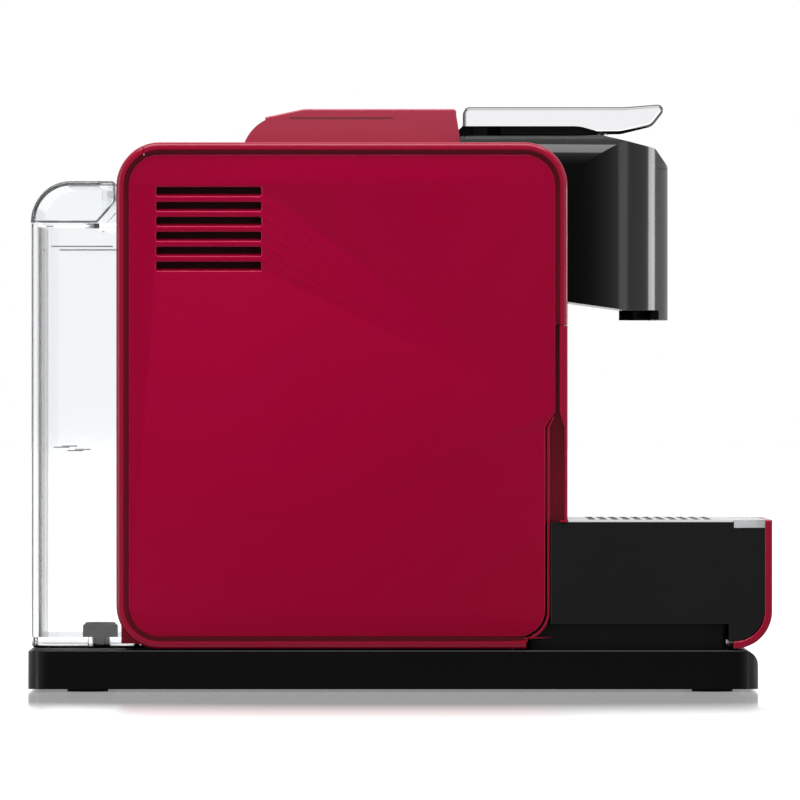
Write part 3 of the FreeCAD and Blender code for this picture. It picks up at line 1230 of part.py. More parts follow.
def make_pipes(s):
    """The hoses and pipes of the works."""
    low = s.deck + s.wall
    pump_x, pump_z = s.body_rear + s.pump_x, low + s.pump_seat + s.pump_radius
    meter_x, meter_y = meter_place(s)
    top = low + s.meter_height + 2
    end = s.pump_length / 2 + 6
    hose, pipe = (s.hose_radius, s.hose_bore), (s.pipe_radius, s.pipe_bore)
    middle = s.foot_height + s.base_height / 2
    tube("tank_hose", [(s.valve, 0, s.base_top), (s.valve, 0, middle), (meter_x, meter_y, middle),
                       (meter_x, meter_y, low)], *hose, 5)
    tube("pump_hose", [(meter_x, meter_y, top), (meter_x, meter_y, pump_z), (meter_x, -end - 8, pump_z),
                       (pump_x, -end - 8, pump_z), (pump_x, -end, pump_z)], *hose, 4)
    heat_x, heat_z = s.back_wall + s.heater_x, s.floor + s.heater_lift
    tube("pressure_pipe", [(pump_x, end, pump_z), (pump_x, end + 12, pump_z), (heat_x - 6, end + 12, pump_z),
                           (heat_x - 6, s.heater_y, heat_z + 8), (heat_x, s.heater_y, heat_z + 8)], *pipe, 4)
    valve_x, valve_z = s.partition_x - 30 + s.valve_side, s.brew_floor + 9
    turn_x = s.body_front - s.frame_back - 16
    tube("brew_pipe", [(valve_x, s.heater_y, valve_z), (turn_x, s.heater_y, valve_z), (turn_x, 0, valve_z),
                       (turn_x, 0, s.brew_z), (s.brew_x - s.block_length + 9, 0, s.brew_z)], *pipe, 4)
    port_x, port_z, run_z = s.plate_x - s.wall - 6, s.top - s.port_drop, s.brew_floor + 15
    tube("steam_pipe", [(valve_x, s.heater_y, run_z), (s.body_front + 16.5, s.heater_y, run_z),
                        (port_x - 3.1, 22, run_z), (port_x - 3.1, 0, run_z), (port_x - 3.1, 0, port_z), (port_x, 0, port_z)], *pipe, 2.4)


def check_shapes():
    """Stops if any object failed or any sub-part is empty or broken."""
    doc.recompute()
    for item in doc.Objects:
        if "Invalid" in item.State or "Error" in item.State:
            raise ValueError(f"{item.Label} did not compute")
    for piece in pieces:
        shape = piece.Shape
        if shape.isNull() or not shape.isValid() or shape.Volume <= 0:
            raise ValueError(f"{piece.Label} has no sound shape")


def write_parts():
    """Writes one STEP file for each sub-part."""
    os.makedirs("parts", exist_ok=True)
    for piece in pieces:
        piece.Shape.exportStep(f"parts/{piece.Label}.step")


def build():
    """Builds the whole machine."""
    s = fill_sheet()
    lay_out(s)
    for make in (make_base_plate, make_bottom_cover, make_feet, make_base_screws, make_cord_gland, make_drip_base,
                 make_rear_shell, make_top_shell, make_chassis, make_spine, make_spine_cap, make_head_shell,
                 make_nose_plate, make_port_door, make_steam_port, make_spout, make_spout_funnel,
                 make_lever_skin, make_lever_body, make_crank_pins, make_pivot_pin, make_brew_frame,
                 make_injection_block, make_cage, make_cage_seal, make_chute, make_tank, make_tank_lid,
                 make_lid_pins, make_tank_valve, make_valve_spring, make_coupling, make_tub, make_drawer_skin,
                 make_drawer_lip, make_fascia, make_bin, make_grid, make_pump, make_dampers, make_heater,
                 make_thermostats, make_board, make_meter, make_valve_block, make_switch, make_rocker, make_heater_pipe,
                 make_vent_screens, make_pipes):
        make(s)
    for name, side in SIDES.items():
        make_side_panel(s, name, side)
    check_shapes()
    write_parts()


build()
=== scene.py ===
"""The look of a pod coffee machine: red lacquered shells, a gloss black head with a bright lever, a clear
tank and a black drip drawer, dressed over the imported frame. Lengths are millimetres until a mesh is made."""

from __future__ import annotations

import logging
import math
from dataclasses import dataclass, field
from enum import Enum

import bmesh
import bpy
from mathutils import Matrix, Vector

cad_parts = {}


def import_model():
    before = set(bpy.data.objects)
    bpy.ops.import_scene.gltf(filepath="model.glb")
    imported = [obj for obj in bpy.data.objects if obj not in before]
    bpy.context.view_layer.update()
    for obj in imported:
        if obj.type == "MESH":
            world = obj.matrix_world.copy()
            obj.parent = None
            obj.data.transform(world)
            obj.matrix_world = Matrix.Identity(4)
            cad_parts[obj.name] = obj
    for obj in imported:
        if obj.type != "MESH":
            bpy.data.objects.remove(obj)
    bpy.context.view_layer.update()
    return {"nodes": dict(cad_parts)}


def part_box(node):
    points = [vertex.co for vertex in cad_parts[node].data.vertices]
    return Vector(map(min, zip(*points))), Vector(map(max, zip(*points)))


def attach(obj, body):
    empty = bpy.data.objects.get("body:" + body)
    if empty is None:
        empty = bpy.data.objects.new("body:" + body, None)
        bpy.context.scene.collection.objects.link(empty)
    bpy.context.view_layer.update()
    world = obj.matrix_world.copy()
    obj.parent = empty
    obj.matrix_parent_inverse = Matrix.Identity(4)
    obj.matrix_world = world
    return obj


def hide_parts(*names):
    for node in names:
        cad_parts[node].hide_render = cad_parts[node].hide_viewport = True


LOG = logging.getLogger("coffee_machine")
MM = 0.001
Point = tuple[float, float]
Ring = list[tuple[float, float, float]]


class Side(Enum):
    """The two sides of the machine; the value is the sign of Y."""

    RIGHT = -1
    LEFT = 1


class Across(Enum):
    """The axis that a flat outline is drawn out along."""

    X = Matrix(((0, 0, 1, 0), (1, 0, 0, 0), (0, 1, 0, 0), (0, 0, 0, 1)))
    Y = Matrix(((1, 0, 0, 0), (0, 0, -1, 0), (0, 1, 0, 0), (0, 0, 0, 1)))
    Z = Matrix.Identity(4)


# ---------------------------------------------------------------- shader groups


class Effect:
    """A shader node group with named inputs and outputs, built once and placed in many finishes."""

    def __init__(self, name: str, inputs: dict[str, float], outputs: dict[str, str]) -> None:
        """Opens the group.

        Args:
            name: the group's name.
            inputs: each numeric input and its usual value.
            outputs: each output and its socket kind.
        """
        self.tree = bpy.data.node_groups.new(name, "ShaderNodeTree")
        for label, value in inputs.items():
            socket = self.tree.interface.new_socket(label, in_out="INPUT", socket_type="NodeSocketFloat")
            socket.default_value = value
        for label, kind in outputs.items():
            self.tree.interface.new_socket(label, in_out="OUTPUT", socket_type=kind)
        self.source = self.tree.nodes.new("NodeGroupInput")
        self.sink = self.tree.nodes.new("NodeGroupOutput")
        self.place = self.tree.nodes.new("ShaderNodeTexCoord").outputs["Object"]

    def node(self, kind: str, **settings: object) -> bpy.types.Node:
        """Adds a node and sets its plain properties."""
        node = self.tree.nodes.new(kind)
        for key, value in settings.items():
            setattr(node, key, value)
        return node

    def link(self, start: bpy.types.NodeSocket, end: bpy.types.NodeSocket) -> None:
        """Joins two sockets."""
        self.tree.links.new(start, end)

    def noise(self, scale: bpy.types.NodeSocket | float, detail: float = 3.0) -> bpy.types.NodeSocket:
        """Adds a noise texture in object space.

        Args:
            scale: a socket that carries the scale, or the scale itself.
            detail: the number of octaves.

        Returns:
            The noise's value socket.
        """
        node = self.node("ShaderNodeTexNoise")
        node.inputs["Detail"].default_value = detail
        self.link(self.place, node.inputs["Vector"])
        if isinstance(scale, float):
            node.inputs["Scale"].default_value = scale
        else:
            self.link(scale, node.inputs["Scale"])
        return node.outputs["Fac"]

    def math(self, operation: str, first: object, second: object) -> bpy.types.NodeSocket:
        """Adds a two-input math node; each input is a socket or a number.

        Returns:
            The result's socket.
        """
        node = self.node("ShaderNodeMath", operation=operation)
        for slot, value in zip(node.inputs, (first, second)):
            if isinstance(value, bpy.types.NodeSocket):
                self.link(value, slot)
            else:
                slot.default_value = value
        return node.outputs[0]


def make_grain() -> bpy.types.NodeTree:
    """The fine moulding or lacquer grain: a height, and a roughness that wanders a little."""
    effect = Effect("surface_grain", {"Scale": 900.0, "Roughness": 0.3, "Spread": 0.05},
                    {"Height": "NodeSocketFloat", "Roughness": "NodeSocketFloat"})
    fine = effect.noise(effect.source.outputs["Scale"], 4.0)
    broad = effect.noise(14.0, 2.0)
    centred = effect.math("SUBTRACT", broad, 0.5)
    wander = effect.math("MULTIPLY", centred, effect.source.outputs["Spread"])
    effect.link(effect.math("ADD", effect.source.outputs["Roughness"], wander),
                effect.sink.inputs["Roughness"])
    effect.link(fine, effect.sink.inputs["Height"])
    return effect.tree


def make_tone() -> bpy.types.NodeTree:
    """A slow change of tone over a surface, as a mask between two colours."""
    effect = Effect("tone_drift", {"Scale": 9.0, "Amount": 0.5}, {"Mask": "NodeSocketFloat"})
    value = effect.noise(effect.source.outputs["Scale"], 2.0)
    effect.link(effect.math("MULTIPLY", value, effect.source.outputs["Amount"]), effect.sink.inputs["Mask"])
    return effect.tree


def make_wear() -> bpy.types.NodeTree:
    """The slight polish along handled edges, as a mask."""
    effect = Effect("edge_wear", {"Amount": 0.3}, {"Mask": "NodeSocketFloat"})
    point = effect.node("ShaderNodeNewGeometry").outputs["Pointiness"]
    raised = effect.math("SUBTRACT", point, 0.52)
    sharp = effect.math("MULTIPLY", raised, 9.0)
    broken = effect.math("MULTIPLY", sharp, effect.noise(60.0))
    scaled = effect.node("ShaderNodeMath", operation="MULTIPLY", use_clamp=True)
    effect.link(broken, scaled.inputs[0])
    effect.link(effect.source.outputs["Amount"], scaled.inputs[1])
    effect.link(scaled.outputs[0], effect.sink.inputs["Mask"])
    return effect.tree


def make_turned() -> bpy.types.NodeTree:
    """The mask of rims and rounded surfaces: nothing on flat faces, full where a face turns away."""
    effect = Effect("turned_rims", {"Amount": 1.0, "Width": 0.12}, {"Mask": "NodeSocketFloat"})
    normal = effect.node("ShaderNodeTexCoord").outputs["Normal"]
    split = effect.node("ShaderNodeSeparateXYZ")
    effect.link(normal, split.inputs[0])
    x, y, z = (effect.math("ABSOLUTE", axis, 0.0) for axis in split.outputs)
    largest = effect.math("MAXIMUM", effect.math("MAXIMUM", x, y), z)
    turned = effect.math("SUBTRACT", 1.0, largest)
    full = effect.math("MINIMUM", effect.math("DIVIDE", turned, effect.source.outputs["Width"]), 1.0)
    effect.link(effect.math("MULTIPLY", full, effect.source.outputs["Amount"]), effect.sink.inputs["Mask"])
    return effect.tree


def make_brush() -> bpy.types.NodeTree:
    """Long fine strokes along X, as a height."""
    effect = Effect("brushed_strokes", {"Scale": 300.0}, {"Height": "NodeSocketFloat"})
    mapping = effect.node("ShaderNodeMapping")
    mapping.inputs["Scale"].default_value = (0.02, 1.0, 1.0)
    effect.link(effect.place, mapping.inputs["Vector"])
    node = effect.node("ShaderNodeTexNoise")
    effect.link(mapping.outputs["Vector"], node.inputs["Vector"])
    effect.link(effect.source.outputs["Scale"], node.inputs["Scale"])
    effect.link(node.outputs["Fac"], effect.sink.inputs["Height"])
    return effect.tree


# ---------------------------------------------------------------- finishes


class Pattern(Enum):
    """The relief that a finish carries."""

    GRAIN = "surface_grain"
    BRUSHED = "brushed_strokes"


@dataclass(frozen=True)
class Finish:
    """One finish: two close colours, gloss, relief, and an optional painted dark reflection on turned rims."""

    name: str
    light: tuple[float, float, float]
    dark: tuple[float, float, float]
    roughness: float = 0.3
    spread: float = 0.06
    metallic: float = 0.0
    specular: float = 0.5
    rim_coat: float = 0.0
    # Strength of a painted dark reflection on turned rims, mixed into the base colour.
    rim_painted_reflection: float = 0.0
    clear: float = 0.0
    grain: float = 900.0
    relief: float = 0.02
    wear: float = 0.25
    tone_scale: float = 9.0
    pattern: Pattern = Pattern.GRAIN

    def build(self) -> bpy.types.Material:
        """Makes the material.

        Returns:
            The finished material.
        """
        material = bpy.data.materials.new(self.name)
        material.use_nodes = True
        tree = material.node_tree
        shader = tree.nodes["Principled BSDF"]
        plain = {"Metallic": self.metallic, "Specular IOR Level": self.specular, "Coat Roughness": 0.10,
                 "Transmission Weight": self.clear, "IOR": 1.49}
        for label, value in plain.items():
            shader.inputs[label].default_value = value
        tone = self.group(tree, "tone_drift", Scale=self.tone_scale, Amount=1.0)
        wear = self.group(tree, "edge_wear", Amount=self.wear)
        grain = self.group(tree, "surface_grain", Scale=self.grain, Roughness=self.roughness,
                           Spread=self.spread)
        shade = self.mix(tree, tone.outputs["Mask"], self.light, self.dark)
        bright = tuple(min(1.0, c * 1.5 + 0.01) for c in self.light)
        worn = self.mix(tree, wear.outputs["Mask"], None, bright)
        tree.links.new(shade.outputs["Result"], worn.inputs["A"])
        colour = worn.outputs["Result"]
        # Painted reflection: turned rims are mixed towards near black, standing in for dark surroundings
        # mirrored in polished metal.
        if self.rim_painted_reflection:
            rims = self.group(tree, "turned_rims", Amount=self.rim_painted_reflection)
            dark_rim_reflection = self.mix(tree, rims.outputs["Mask"], None, (0.03, 0.03, 0.032))
            tree.links.new(colour, dark_rim_reflection.inputs["A"])
            colour = dark_rim_reflection.outputs["Result"]
        if self.rim_coat:
            rims = self.group(tree, "turned_rims", Amount=self.rim_coat)
            tree.links.new(rims.outputs["Mask"], shader.inputs["Coat Weight"])
        tree.links.new(colour, shader.inputs["Base Color"])
        tree.links.new(grain.outputs["Roughness"], shader.inputs["Roughness"])
        bump = tree.nodes.new("ShaderNodeBump")
        bump.inputs["Strength"].default_value = self.relief
        bump.inputs["Distance"].default_value = 0.0002
        relief = grain
        if self.pattern is Pattern.BRUSHED:
            relief = self.group(tree, "brushed_strokes", Scale=self.grain)
        tree.links.new(relief.outputs["Height"], bump.inputs["Height"])
        tree.links.new(bump.outputs["Normal"], shader.inputs["Normal"])
        return material

    @staticmethod
    def group(tree: bpy.types.NodeTree, name: str, **values: float) -> bpy.types.Node:
        """Places a shader group with its own values."""
        node = tree.nodes.new("ShaderNodeGroup")
        node.node_tree = bpy.data.node_groups[name]
        for label, value in values.items():
            node.inputs[label].default_value = value
        return node

    @staticmethod
    def mix(tree: bpy.types.NodeTree, mask: bpy.types.NodeSocket, first: Point | None,
            second: tuple[float, float, float]) -> bpy.types.Node:
        """Adds a colour mix driven by a mask."""
        node = tree.nodes.new("ShaderNodeMix")
        node.data_type = "RGBA"
        tree.links.new(mask, node.inputs["Factor"])
        colour_in = [s for s in node.inputs if s.type == "RGBA"]
        colour_out = next(s for s in node.outputs if s.type == "RGBA")
        if first is not None:
            colour_in[0].default_value = (*first, 1.0)
        colour_in[1].default_value = (*second, 1.0)
        return MixNode(node, colour_in, colour_out)


class MixNode:
    """A colour mix with its colour sockets picked out."""

    def __init__(self, node: bpy.types.Node, ins: list[bpy.types.NodeSocket],
                 out: bpy.types.NodeSocket) -> None:
        """Keeps the node and its colour sockets."""
        self.node = node
        self.inputs = {"A": ins[0], "B": ins[1]}
        self.outputs = {"Result": out}


RED = Finish("crimson_band", (0.340, 0.0016, 0.032), (0.255, 0.0016, 0.018), 0.20, 0.05, specular=0.10,
             rim_coat=0.32, grain=2600.0, relief=0.03, wear=0.12, tone_scale=5.0)
RED_HUMP = Finish("crimson_hump", (0.400, 0.0040, 0.048), (0.330, 0.0030, 0.034), 0.24, 0.05, specular=0.60,
                  rim_coat=0.2, grain=2600.0, relief=0.03, wear=0.12, tone_scale=5.0)
RED_FACE = Finish("crimson_face", (0.420, 0.0011, 0.046), (0.235, 0.0020, 0.016), 0.16, 0.05, specular=0.02,
                  rim_coat=0.35, grain=2600.0, relief=0.03, wear=0.10, tone_scale=3.2)
GLOSS_BLACK = Finish("gloss_black_shell", (0.0030, 0.0030, 0.0032), (0.0015, 0.0015, 0.0017), 0.24, 0.04,
                     specular=0.03, rim_coat=0.60, grain=2200.0, relief=0.02, wear=0.10)
SATIN_BLACK = Finish("satin_black_base", (0.0045, 0.0045, 0.0045), (0.0025, 0.0025, 0.0025), 0.30, 0.08,
                     specular=0.03, rim_coat=0.30, grain=1500.0, relief=0.10, wear=0.15)
MATTE_BLACK = Finish("moulded_black", (0.0130, 0.0130, 0.0132), (0.0100, 0.0100, 0.0102), 0.46, 0.08,
                     specular=0.03, rim_coat=0.10, grain=1300.0, relief=0.18, wear=0.2)
DARK_INNER = Finish("inner_dark_plastic", (0.010, 0.010, 0.011), (0.006, 0.006, 0.0065), 0.6, 0.1,
                    specular=0.10, grain=1100.0, relief=0.25)
# Polished chrome whose turned rims carry a painted dark reflection.
CHROME = Finish("polished_chrome", (0.90, 0.90, 0.91), (0.84, 0.84, 0.86), 0.07, 0.03, metallic=1.0,
                rim_painted_reflection=0.92, grain=240.0, relief=0.01, wear=0.05, pattern=Pattern.BRUSHED)
STEEL = Finish("brushed_steel", (0.62, 0.62, 0.63), (0.52, 0.52, 0.53), 0.30, 0.08, metallic=1.0,
               grain=500.0, relief=0.25, wear=0.2, pattern=Pattern.BRUSHED)
RUBBER = Finish("soft_rubber", (0.012, 0.012, 0.012), (0.008, 0.008, 0.008), 0.75, 0.1, specular=0.2,
                grain=900.0, relief=0.3)
CLEAR = Finish("clear_tank_plastic", (0.955, 0.965, 0.97), (0.93, 0.945, 0.955), 0.03, 0.02, clear=1.0,
               grain=300.0, relief=0.01, wear=0.0, tone_scale=4.0)
# Painted shade: a grey half-clear finish standing in for the darker look of the thick clear edges of the tank
# and the lid.
PAINTED_EDGE_SHADE = Finish("tank_edge_painted_shade", (0.30, 0.31, 0.32), (0.24, 0.25, 0.26), 0.12, 0.04, clear=0.35,
                grain=300.0, relief=0.01, wear=0.0, tone_scale=4.0)
FROSTED = Finish("frosted_strip", (0.80, 0.81, 0.82), (0.70, 0.71, 0.72), 0.25, 0.1, clear=0.5,
                 grain=500.0, relief=0.05, wear=0.0)
FELT = Finish("black_felt", (0.02, 0.004, 0.006), (0.010, 0.002, 0.003), 0.95, 0.05, specular=0.1,
              grain=700.0, relief=0.6)
BOARD = Finish("circuit_board", (0.01, 0.07, 0.025), (0.007, 0.045, 0.018), 0.5, 0.1, grain=600.0, relief=0.2)
CAST = Finish("cast_aluminium", (0.45, 0.45, 0.46), (0.36, 0.36, 0.37), 0.5, 0.1, metallic=1.0,
              grain=700.0, relief=0.4)
PRINT = Finish("grey_marking", (0.30, 0.31, 0.32), (0.25, 0.26, 0.27), 0.5, 0.05, grain=600.0, relief=0.1)
LIT_MARK = Finish("pale_marking", (0.62, 0.62, 0.62), (0.5, 0.5, 0.5), 0.4, 0.05, grain=600.0, relief=0.1)


class Wardrobe:
    """Every finish, built once and handed out by name."""

    def __init__(self) -> None:
        """Builds the shader groups and the table of materials."""
        make_grain()
        make_tone()
        make_wear()
        make_brush()
        make_turned()
        self.made: dict[str, bpy.types.Material] = {}

    def get(self, finish: Finish) -> bpy.types.Material:
        """The material of a finish."""
        if finish.name not in self.made:
            self.made[finish.name] = finish.build()
        return self.made[finish.name]


# ---------------------------------------------------------------- shapes


@dataclass
class Corner:
    """A corner of an outline, rounded if its radius is above zero."""

    x: float
    y: float
    r: float = 0.0


def rounded(corners: list[Corner], steps: int = 14) -> list[Point]:
    """Turns corners into the points of a closed outline.

    Args:
        corners: the corners in order.
        steps: how many points each arc gets.

    Returns:
        The outline's points, millimetres.
    """
    points: list[Point] = []
    for i, here in enumerate(corners):
        if here.r <= 0:
            points.append((here.x, here.y))
            continue
        before, after = corners[i - 1], corners[(i + 1) % len(corners)]
        at = Vector((here.x, here.y))
        to_before = (Vector((before.x, before.y)) - at).normalized()
        to_after = (Vector((after.x, after.y)) - at).normalized()
        half = to_before.angle(to_after) / 2
        centre = at + (to_before + to_after).normalized() * (here.r / math.sin(half))
        start = at + to_before * (here.r / math.tan(half)) - centre
        end = at + to_after * (here.r / math.tan(half)) - centre
        turn = start.angle_signed(end)
        for k in range(steps + 1):
            angle = -turn * k / steps
            spoke = Matrix.Rotation(angle, 2) @ start
            points.append(tuple(centre + spoke))
    return points


def frame_box(low_x: float, low_y: float, high_x: float, high_y: float, radius: float = 0.0) -> list[Corner]:
    """The four corners of a rectangle, counter-clockwise."""
    return [Corner(low_x, low_y, radius), Corner(high_x, low_y, radius),
            Corner(high_x, high_y, radius), Corner(low_x, high_y, radius)]


class Shaper:
    """Makes meshes, dresses them and reports them."""

    def __init__(self, wardrobe: Wardrobe) -> None:
        """Keeps the wardrobe."""
        self.wardrobe = wardrobe

    def dress(self, piece: bpy.types.Object, finish: Finish, body: str, *nodes: str) -> bpy.types.Object:
        """Gives a piece its finish, its body and the nodes that it stands for.

        Args:
            piece: the new object.
            finish: what it is made of.
            body: the body that it moves with.
            nodes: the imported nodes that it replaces.

        Returns:
            The piece.
        """
        piece.data.materials.clear()
        piece.data.materials.append(self.wardrobe.get(finish))
        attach(piece, body)
        if nodes:
            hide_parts(*nodes)
        LOG.info("%s: %d faces on %s", piece.name, len(piece.data.polygons), body)
        return piece

    def slab(self, name: str, across: Across, low: float, high: float, loops: list[list[Corner]],
             bevel: float = 0.3, steps: int = 14) -> bpy.types.Object:
        """Draws an outline, with holes, out along an axis and rounds its rims.

        Args:
            name: the piece's name.
            across: the axis that it is drawn out along.
            low: where it starts on that axis.
            high: where it ends.
            loops: the outer outline and then the holes.
            bevel: the rim's rounding.
            steps: points for each corner arc.

        Returns:
            The new object, with shading that stays crisp at its edges.
        """
        curve = bpy.data.curves.new(name, "CURVE")
        curve.dimensions = "2D"
        curve.fill_mode = "BOTH"
        curve.extrude = (high - low) / 2 * MM - bevel * MM
        curve.bevel_depth = bevel * MM
        curve.bevel_resolution = 2
        curve.offset = -bevel * MM
        for loop in loops:
            points = rounded(loop, steps)
            spline = curve.splines.new("POLY")
            spline.points.add(len(points) - 1)
            for target, (x, y) in zip(spline.points, points):
                target.co = (x * MM, y * MM, 0, 1)
            spline.use_cyclic_u = True
        holder = bpy.data.objects.new(name + "_outline", curve)
        mesh = bpy.data.meshes.new_from_object(holder)
        bpy.data.objects.remove(holder)
        sign = -1 if across is Across.Y else 1
        middle = (low + high) / 2 * MM
        mesh.transform(across.value @ Matrix.Translation((0, 0, sign * middle)))
        return self.finish_mesh(name, mesh)

    def loft(self, name: str, rings: list[Ring], closed_ends: bool = True) -> bpy.types.Object:
        """Skins a row of rings that have the same number of points.

        Args:
            name: the piece's name.
            rings: the rings, millimetres.
            closed_ends: whether the first and last ring get a face.

        Returns:
            The new object.
        """
        mesh = bpy.data.meshes.new(name)
        bm = bmesh.new()
        rows = [[bm.verts.new(Vector(p) * MM) for p in ring] for ring in rings]
        for first, second in zip(rows, rows[1:]):
            for k in range(len(first)):
                j = (k + 1) % len(first)
                bm.faces.new((first[k], first[j], second[j], second[k]))
        if closed_ends:
            bm.faces.new(reversed(rows[0]))
            bm.faces.new(rows[-1])
        bmesh.ops.remove_doubles(bm, verts=bm.verts, dist=1e-6)
        bmesh.ops.recalc_face_normals(bm, faces=bm.faces)
        bm.to_mesh(mesh)
        bm.free()
        return self.finish_mesh(name, mesh)

    def finish_mesh(self, name: str, mesh: bpy.types.Mesh) -> bpy.types.Object:
        """Welds a mesh, smooths it up to thirty degrees and links it."""
        bm = bmesh.new()
        bm.from_mesh(mesh)
        bmesh.ops.remove_doubles(bm, verts=bm.verts, dist=2e-6)
        bmesh.ops.recalc_face_normals(bm, faces=bm.faces)
        bm.to_mesh(mesh)
        bm.free()
        for face in mesh.polygons:
            face.use_smooth = True
        mesh.set_sharp_from_angle(angle=math.radians(32))
        piece = bpy.data.objects.new(name, mesh)
        bpy.context.scene.collection.objects.link(piece)
        return piece

    def polish_node(self, node: bpy.types.Object, finish: Finish, rim: float) -> None:
        """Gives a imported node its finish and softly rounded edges, leaving its mesh alone."""
        node.data.materials.clear()
        node.data.materials.append(self.wardrobe.get(finish))
        for face in node.data.polygons:
            face.use_smooth = True
        node.data.set_sharp_from_angle(angle=math.radians(32))
        bevel = node.modifiers.new("rim", "BEVEL")
        bevel.width = rim * MM
        bevel.segments = 2
        bevel.limit_method = "ANGLE"
        bevel.angle_limit = math.radians(40)
        bevel.harden_normals = True


def span(node: str) -> tuple[Vector, Vector]:
    """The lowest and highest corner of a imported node, millimetres."""
    low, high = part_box(node)
    return low / MM, high / MM


# ---------------------------------------------------------------- sub-assemblies


class Assembly:
    """A group of pieces that is built and dressed together."""

    kept: dict[str, tuple[Finish, float]] = {}

    def __init__(self, shaper: Shaper, nodes: dict[str, bpy.types.Object]) -> None:
        """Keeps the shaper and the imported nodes."""
        self.shaper = shaper
        self.nodes = nodes

    def polish(self) -> None:
        """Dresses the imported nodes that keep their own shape."""
        for name, (finish, rim) in self.kept.items():
            self.shaper.polish_node(self.nodes[name], finish, rim)
            LOG.info("%s: %s", name, finish.name)

    def make(self) -> None:
        """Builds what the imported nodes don't show."""


@dataclass
class PanelSizes:
    """The glossy side panel and the thin trim in front of it."""

    corner: float = 14.0
    toe: float = 12.0
    jog: float = 4.5
    jog_low: float = 97.0
    jog_high: float = 103.8
    below: float = 5.2
    rim: float = 0.7
    vent_rows: int = 6
    vent_pitch: float = 6.55
    vent_height: float = 3.9
    vent_length: float = 45.9
    vent_rear: float = 12.4
    vent_drop: float = 16.4
    louvre_depth: float = 1.3
    louvre_lean: float = 0.12
    trim_gap: float = 0.7
    trim_wide: float = 1.3
    seam: float = 0.29


class Shells(Assembly):
    """The red band, the two side panels, the hump and its cap."""

    kept = {"rear_shell": (RED, 0.5), "top_shell": (RED, 0.5), "top_spine": (RED_HUMP, 0.5),
            "top_spine_cap": (RED_HUMP, 0.5), "vent_screens": (FELT, 0.2)}
    sizes = PanelSizes()

    def make(self) -> None:
        """Builds both side panels with their louvres."""
        for side in Side:
            self.panel(side)
            self.trim(side)
        self.gasket()

    def trim(self, side: Side) -> None:
        """The thin lip of the body that shows between the panel and the drawer.

        Args:
            side: which side of the machine.
        """
        s, name = self.sizes, f"side_panel_{side.name.lower()}"
        low, high = span(name)
        foot = span("rear_shell")[1].x + s.seam
        x0, z0 = high.x - s.jog + s.trim_gap, low.z - s.trim_gap
        x1, z1 = x0 + s.trim_wide, z0 - s.trim_wide
        turn, top = low.z - s.below + s.jog_low, low.z - s.below + s.jog_low + 4.6
        y0, y1 = (low.y + 0.6, high.y) if side is Side.RIGHT else (low.y, high.y - 0.6)
        outline = [Corner(foot, z1), Corner(x1, z1, s.toe + s.trim_wide), Corner(x1, turn, 2),
                   Corner(x1 + 2.3, top), Corner(x0 + 2.3, top), Corner(x0, turn, 2), Corner(x0, z0, s.toe),
                   Corner(foot, z0)]
        strip = self.shaper.slab(f"edge_trim_{side.name.lower()}", Across.Y, y0, y1, [outline], 0.4)
        self.shaper.dress(strip, RED, "body")

    def gasket(self) -> None:
        """The thin gasket in the seam of the band, so that no light passes through it."""
        s = self.sizes
        x, z = span("top_shell")[0].x, span("rear_shell")[1].z - 0.5
        low, high = span("rear_shell")
        rings = [[(x - s.seam, y, z), (x - s.seam, y, z - 3), (x, y, z - 3), (x, y, z)]
                 for y in (low.y + 3, high.y - 3)]
        strip = self.shaper.loft("seam_gasket", rings)
        self.shaper.dress(strip, RED, "body")

    def outline(self, low: Vector, high: Vector) -> list[Corner]:
        """The panel's outline with the jog beside the drawer's grip."""
        s = self.sizes
        back = high.x - s.jog
        base = low.z - s.below
        return [Corner(low.x, low.z, s.corner), Corner(back, low.z, s.toe), Corner(back, base + s.jog_low, 2),
                Corner(high.x, base + s.jog_high, 2), Corner(high.x, high.z, s.corner),
                Corner(low.x, high.z, s.corner)]

    def panel(self, side: Side) -> None:
        """One side panel.

        Args:
            side: which side of the machine.
        """
        s, name = self.sizes, f"side_panel_{side.name.lower()}"
        low, high = span(name)
        x0 = low.x + s.vent_rear
        rows = [high.z - s.vent_drop - s.vent_pitch * i for i in range(s.vent_rows)]
        half = s.vent_height / 2
        holes = [frame_box(x0, z - half, x0 + s.vent_length, z + half, 0.8) for z in rows]
        if side is Side.LEFT:
            inner, outer = span("switch_frame")
            holes.append(frame_box(inner.x + 1.9, inner.z + 1.9, outer.x - 1.9, outer.z - 1.9, 1.2))
        plate = self.shaper.slab(name + "_skin", Across.Y, low.y, high.y,
                                 [self.outline(low, high), *holes], s.rim)
        self.shaper.dress(plate, RED_FACE, "body", name)
        face, back = (high.y, low.y) if side is Side.LEFT else (low.y, high.y)
        for i, z in enumerate(rows):
            sill = z - half - 0.2
            ends = [[(x, face + (back - face) * s.louvre_lean, sill), (x, back, sill),
                     (x, back, sill + s.louvre_depth)]
                    for x in (x0 - 0.2, x0 + s.vent_length + 0.2)]
            blade = self.shaper.loft(f"louvre_{side.name.lower()}_{i}", ends)
            self.shaper.dress(blade, RED, "body")


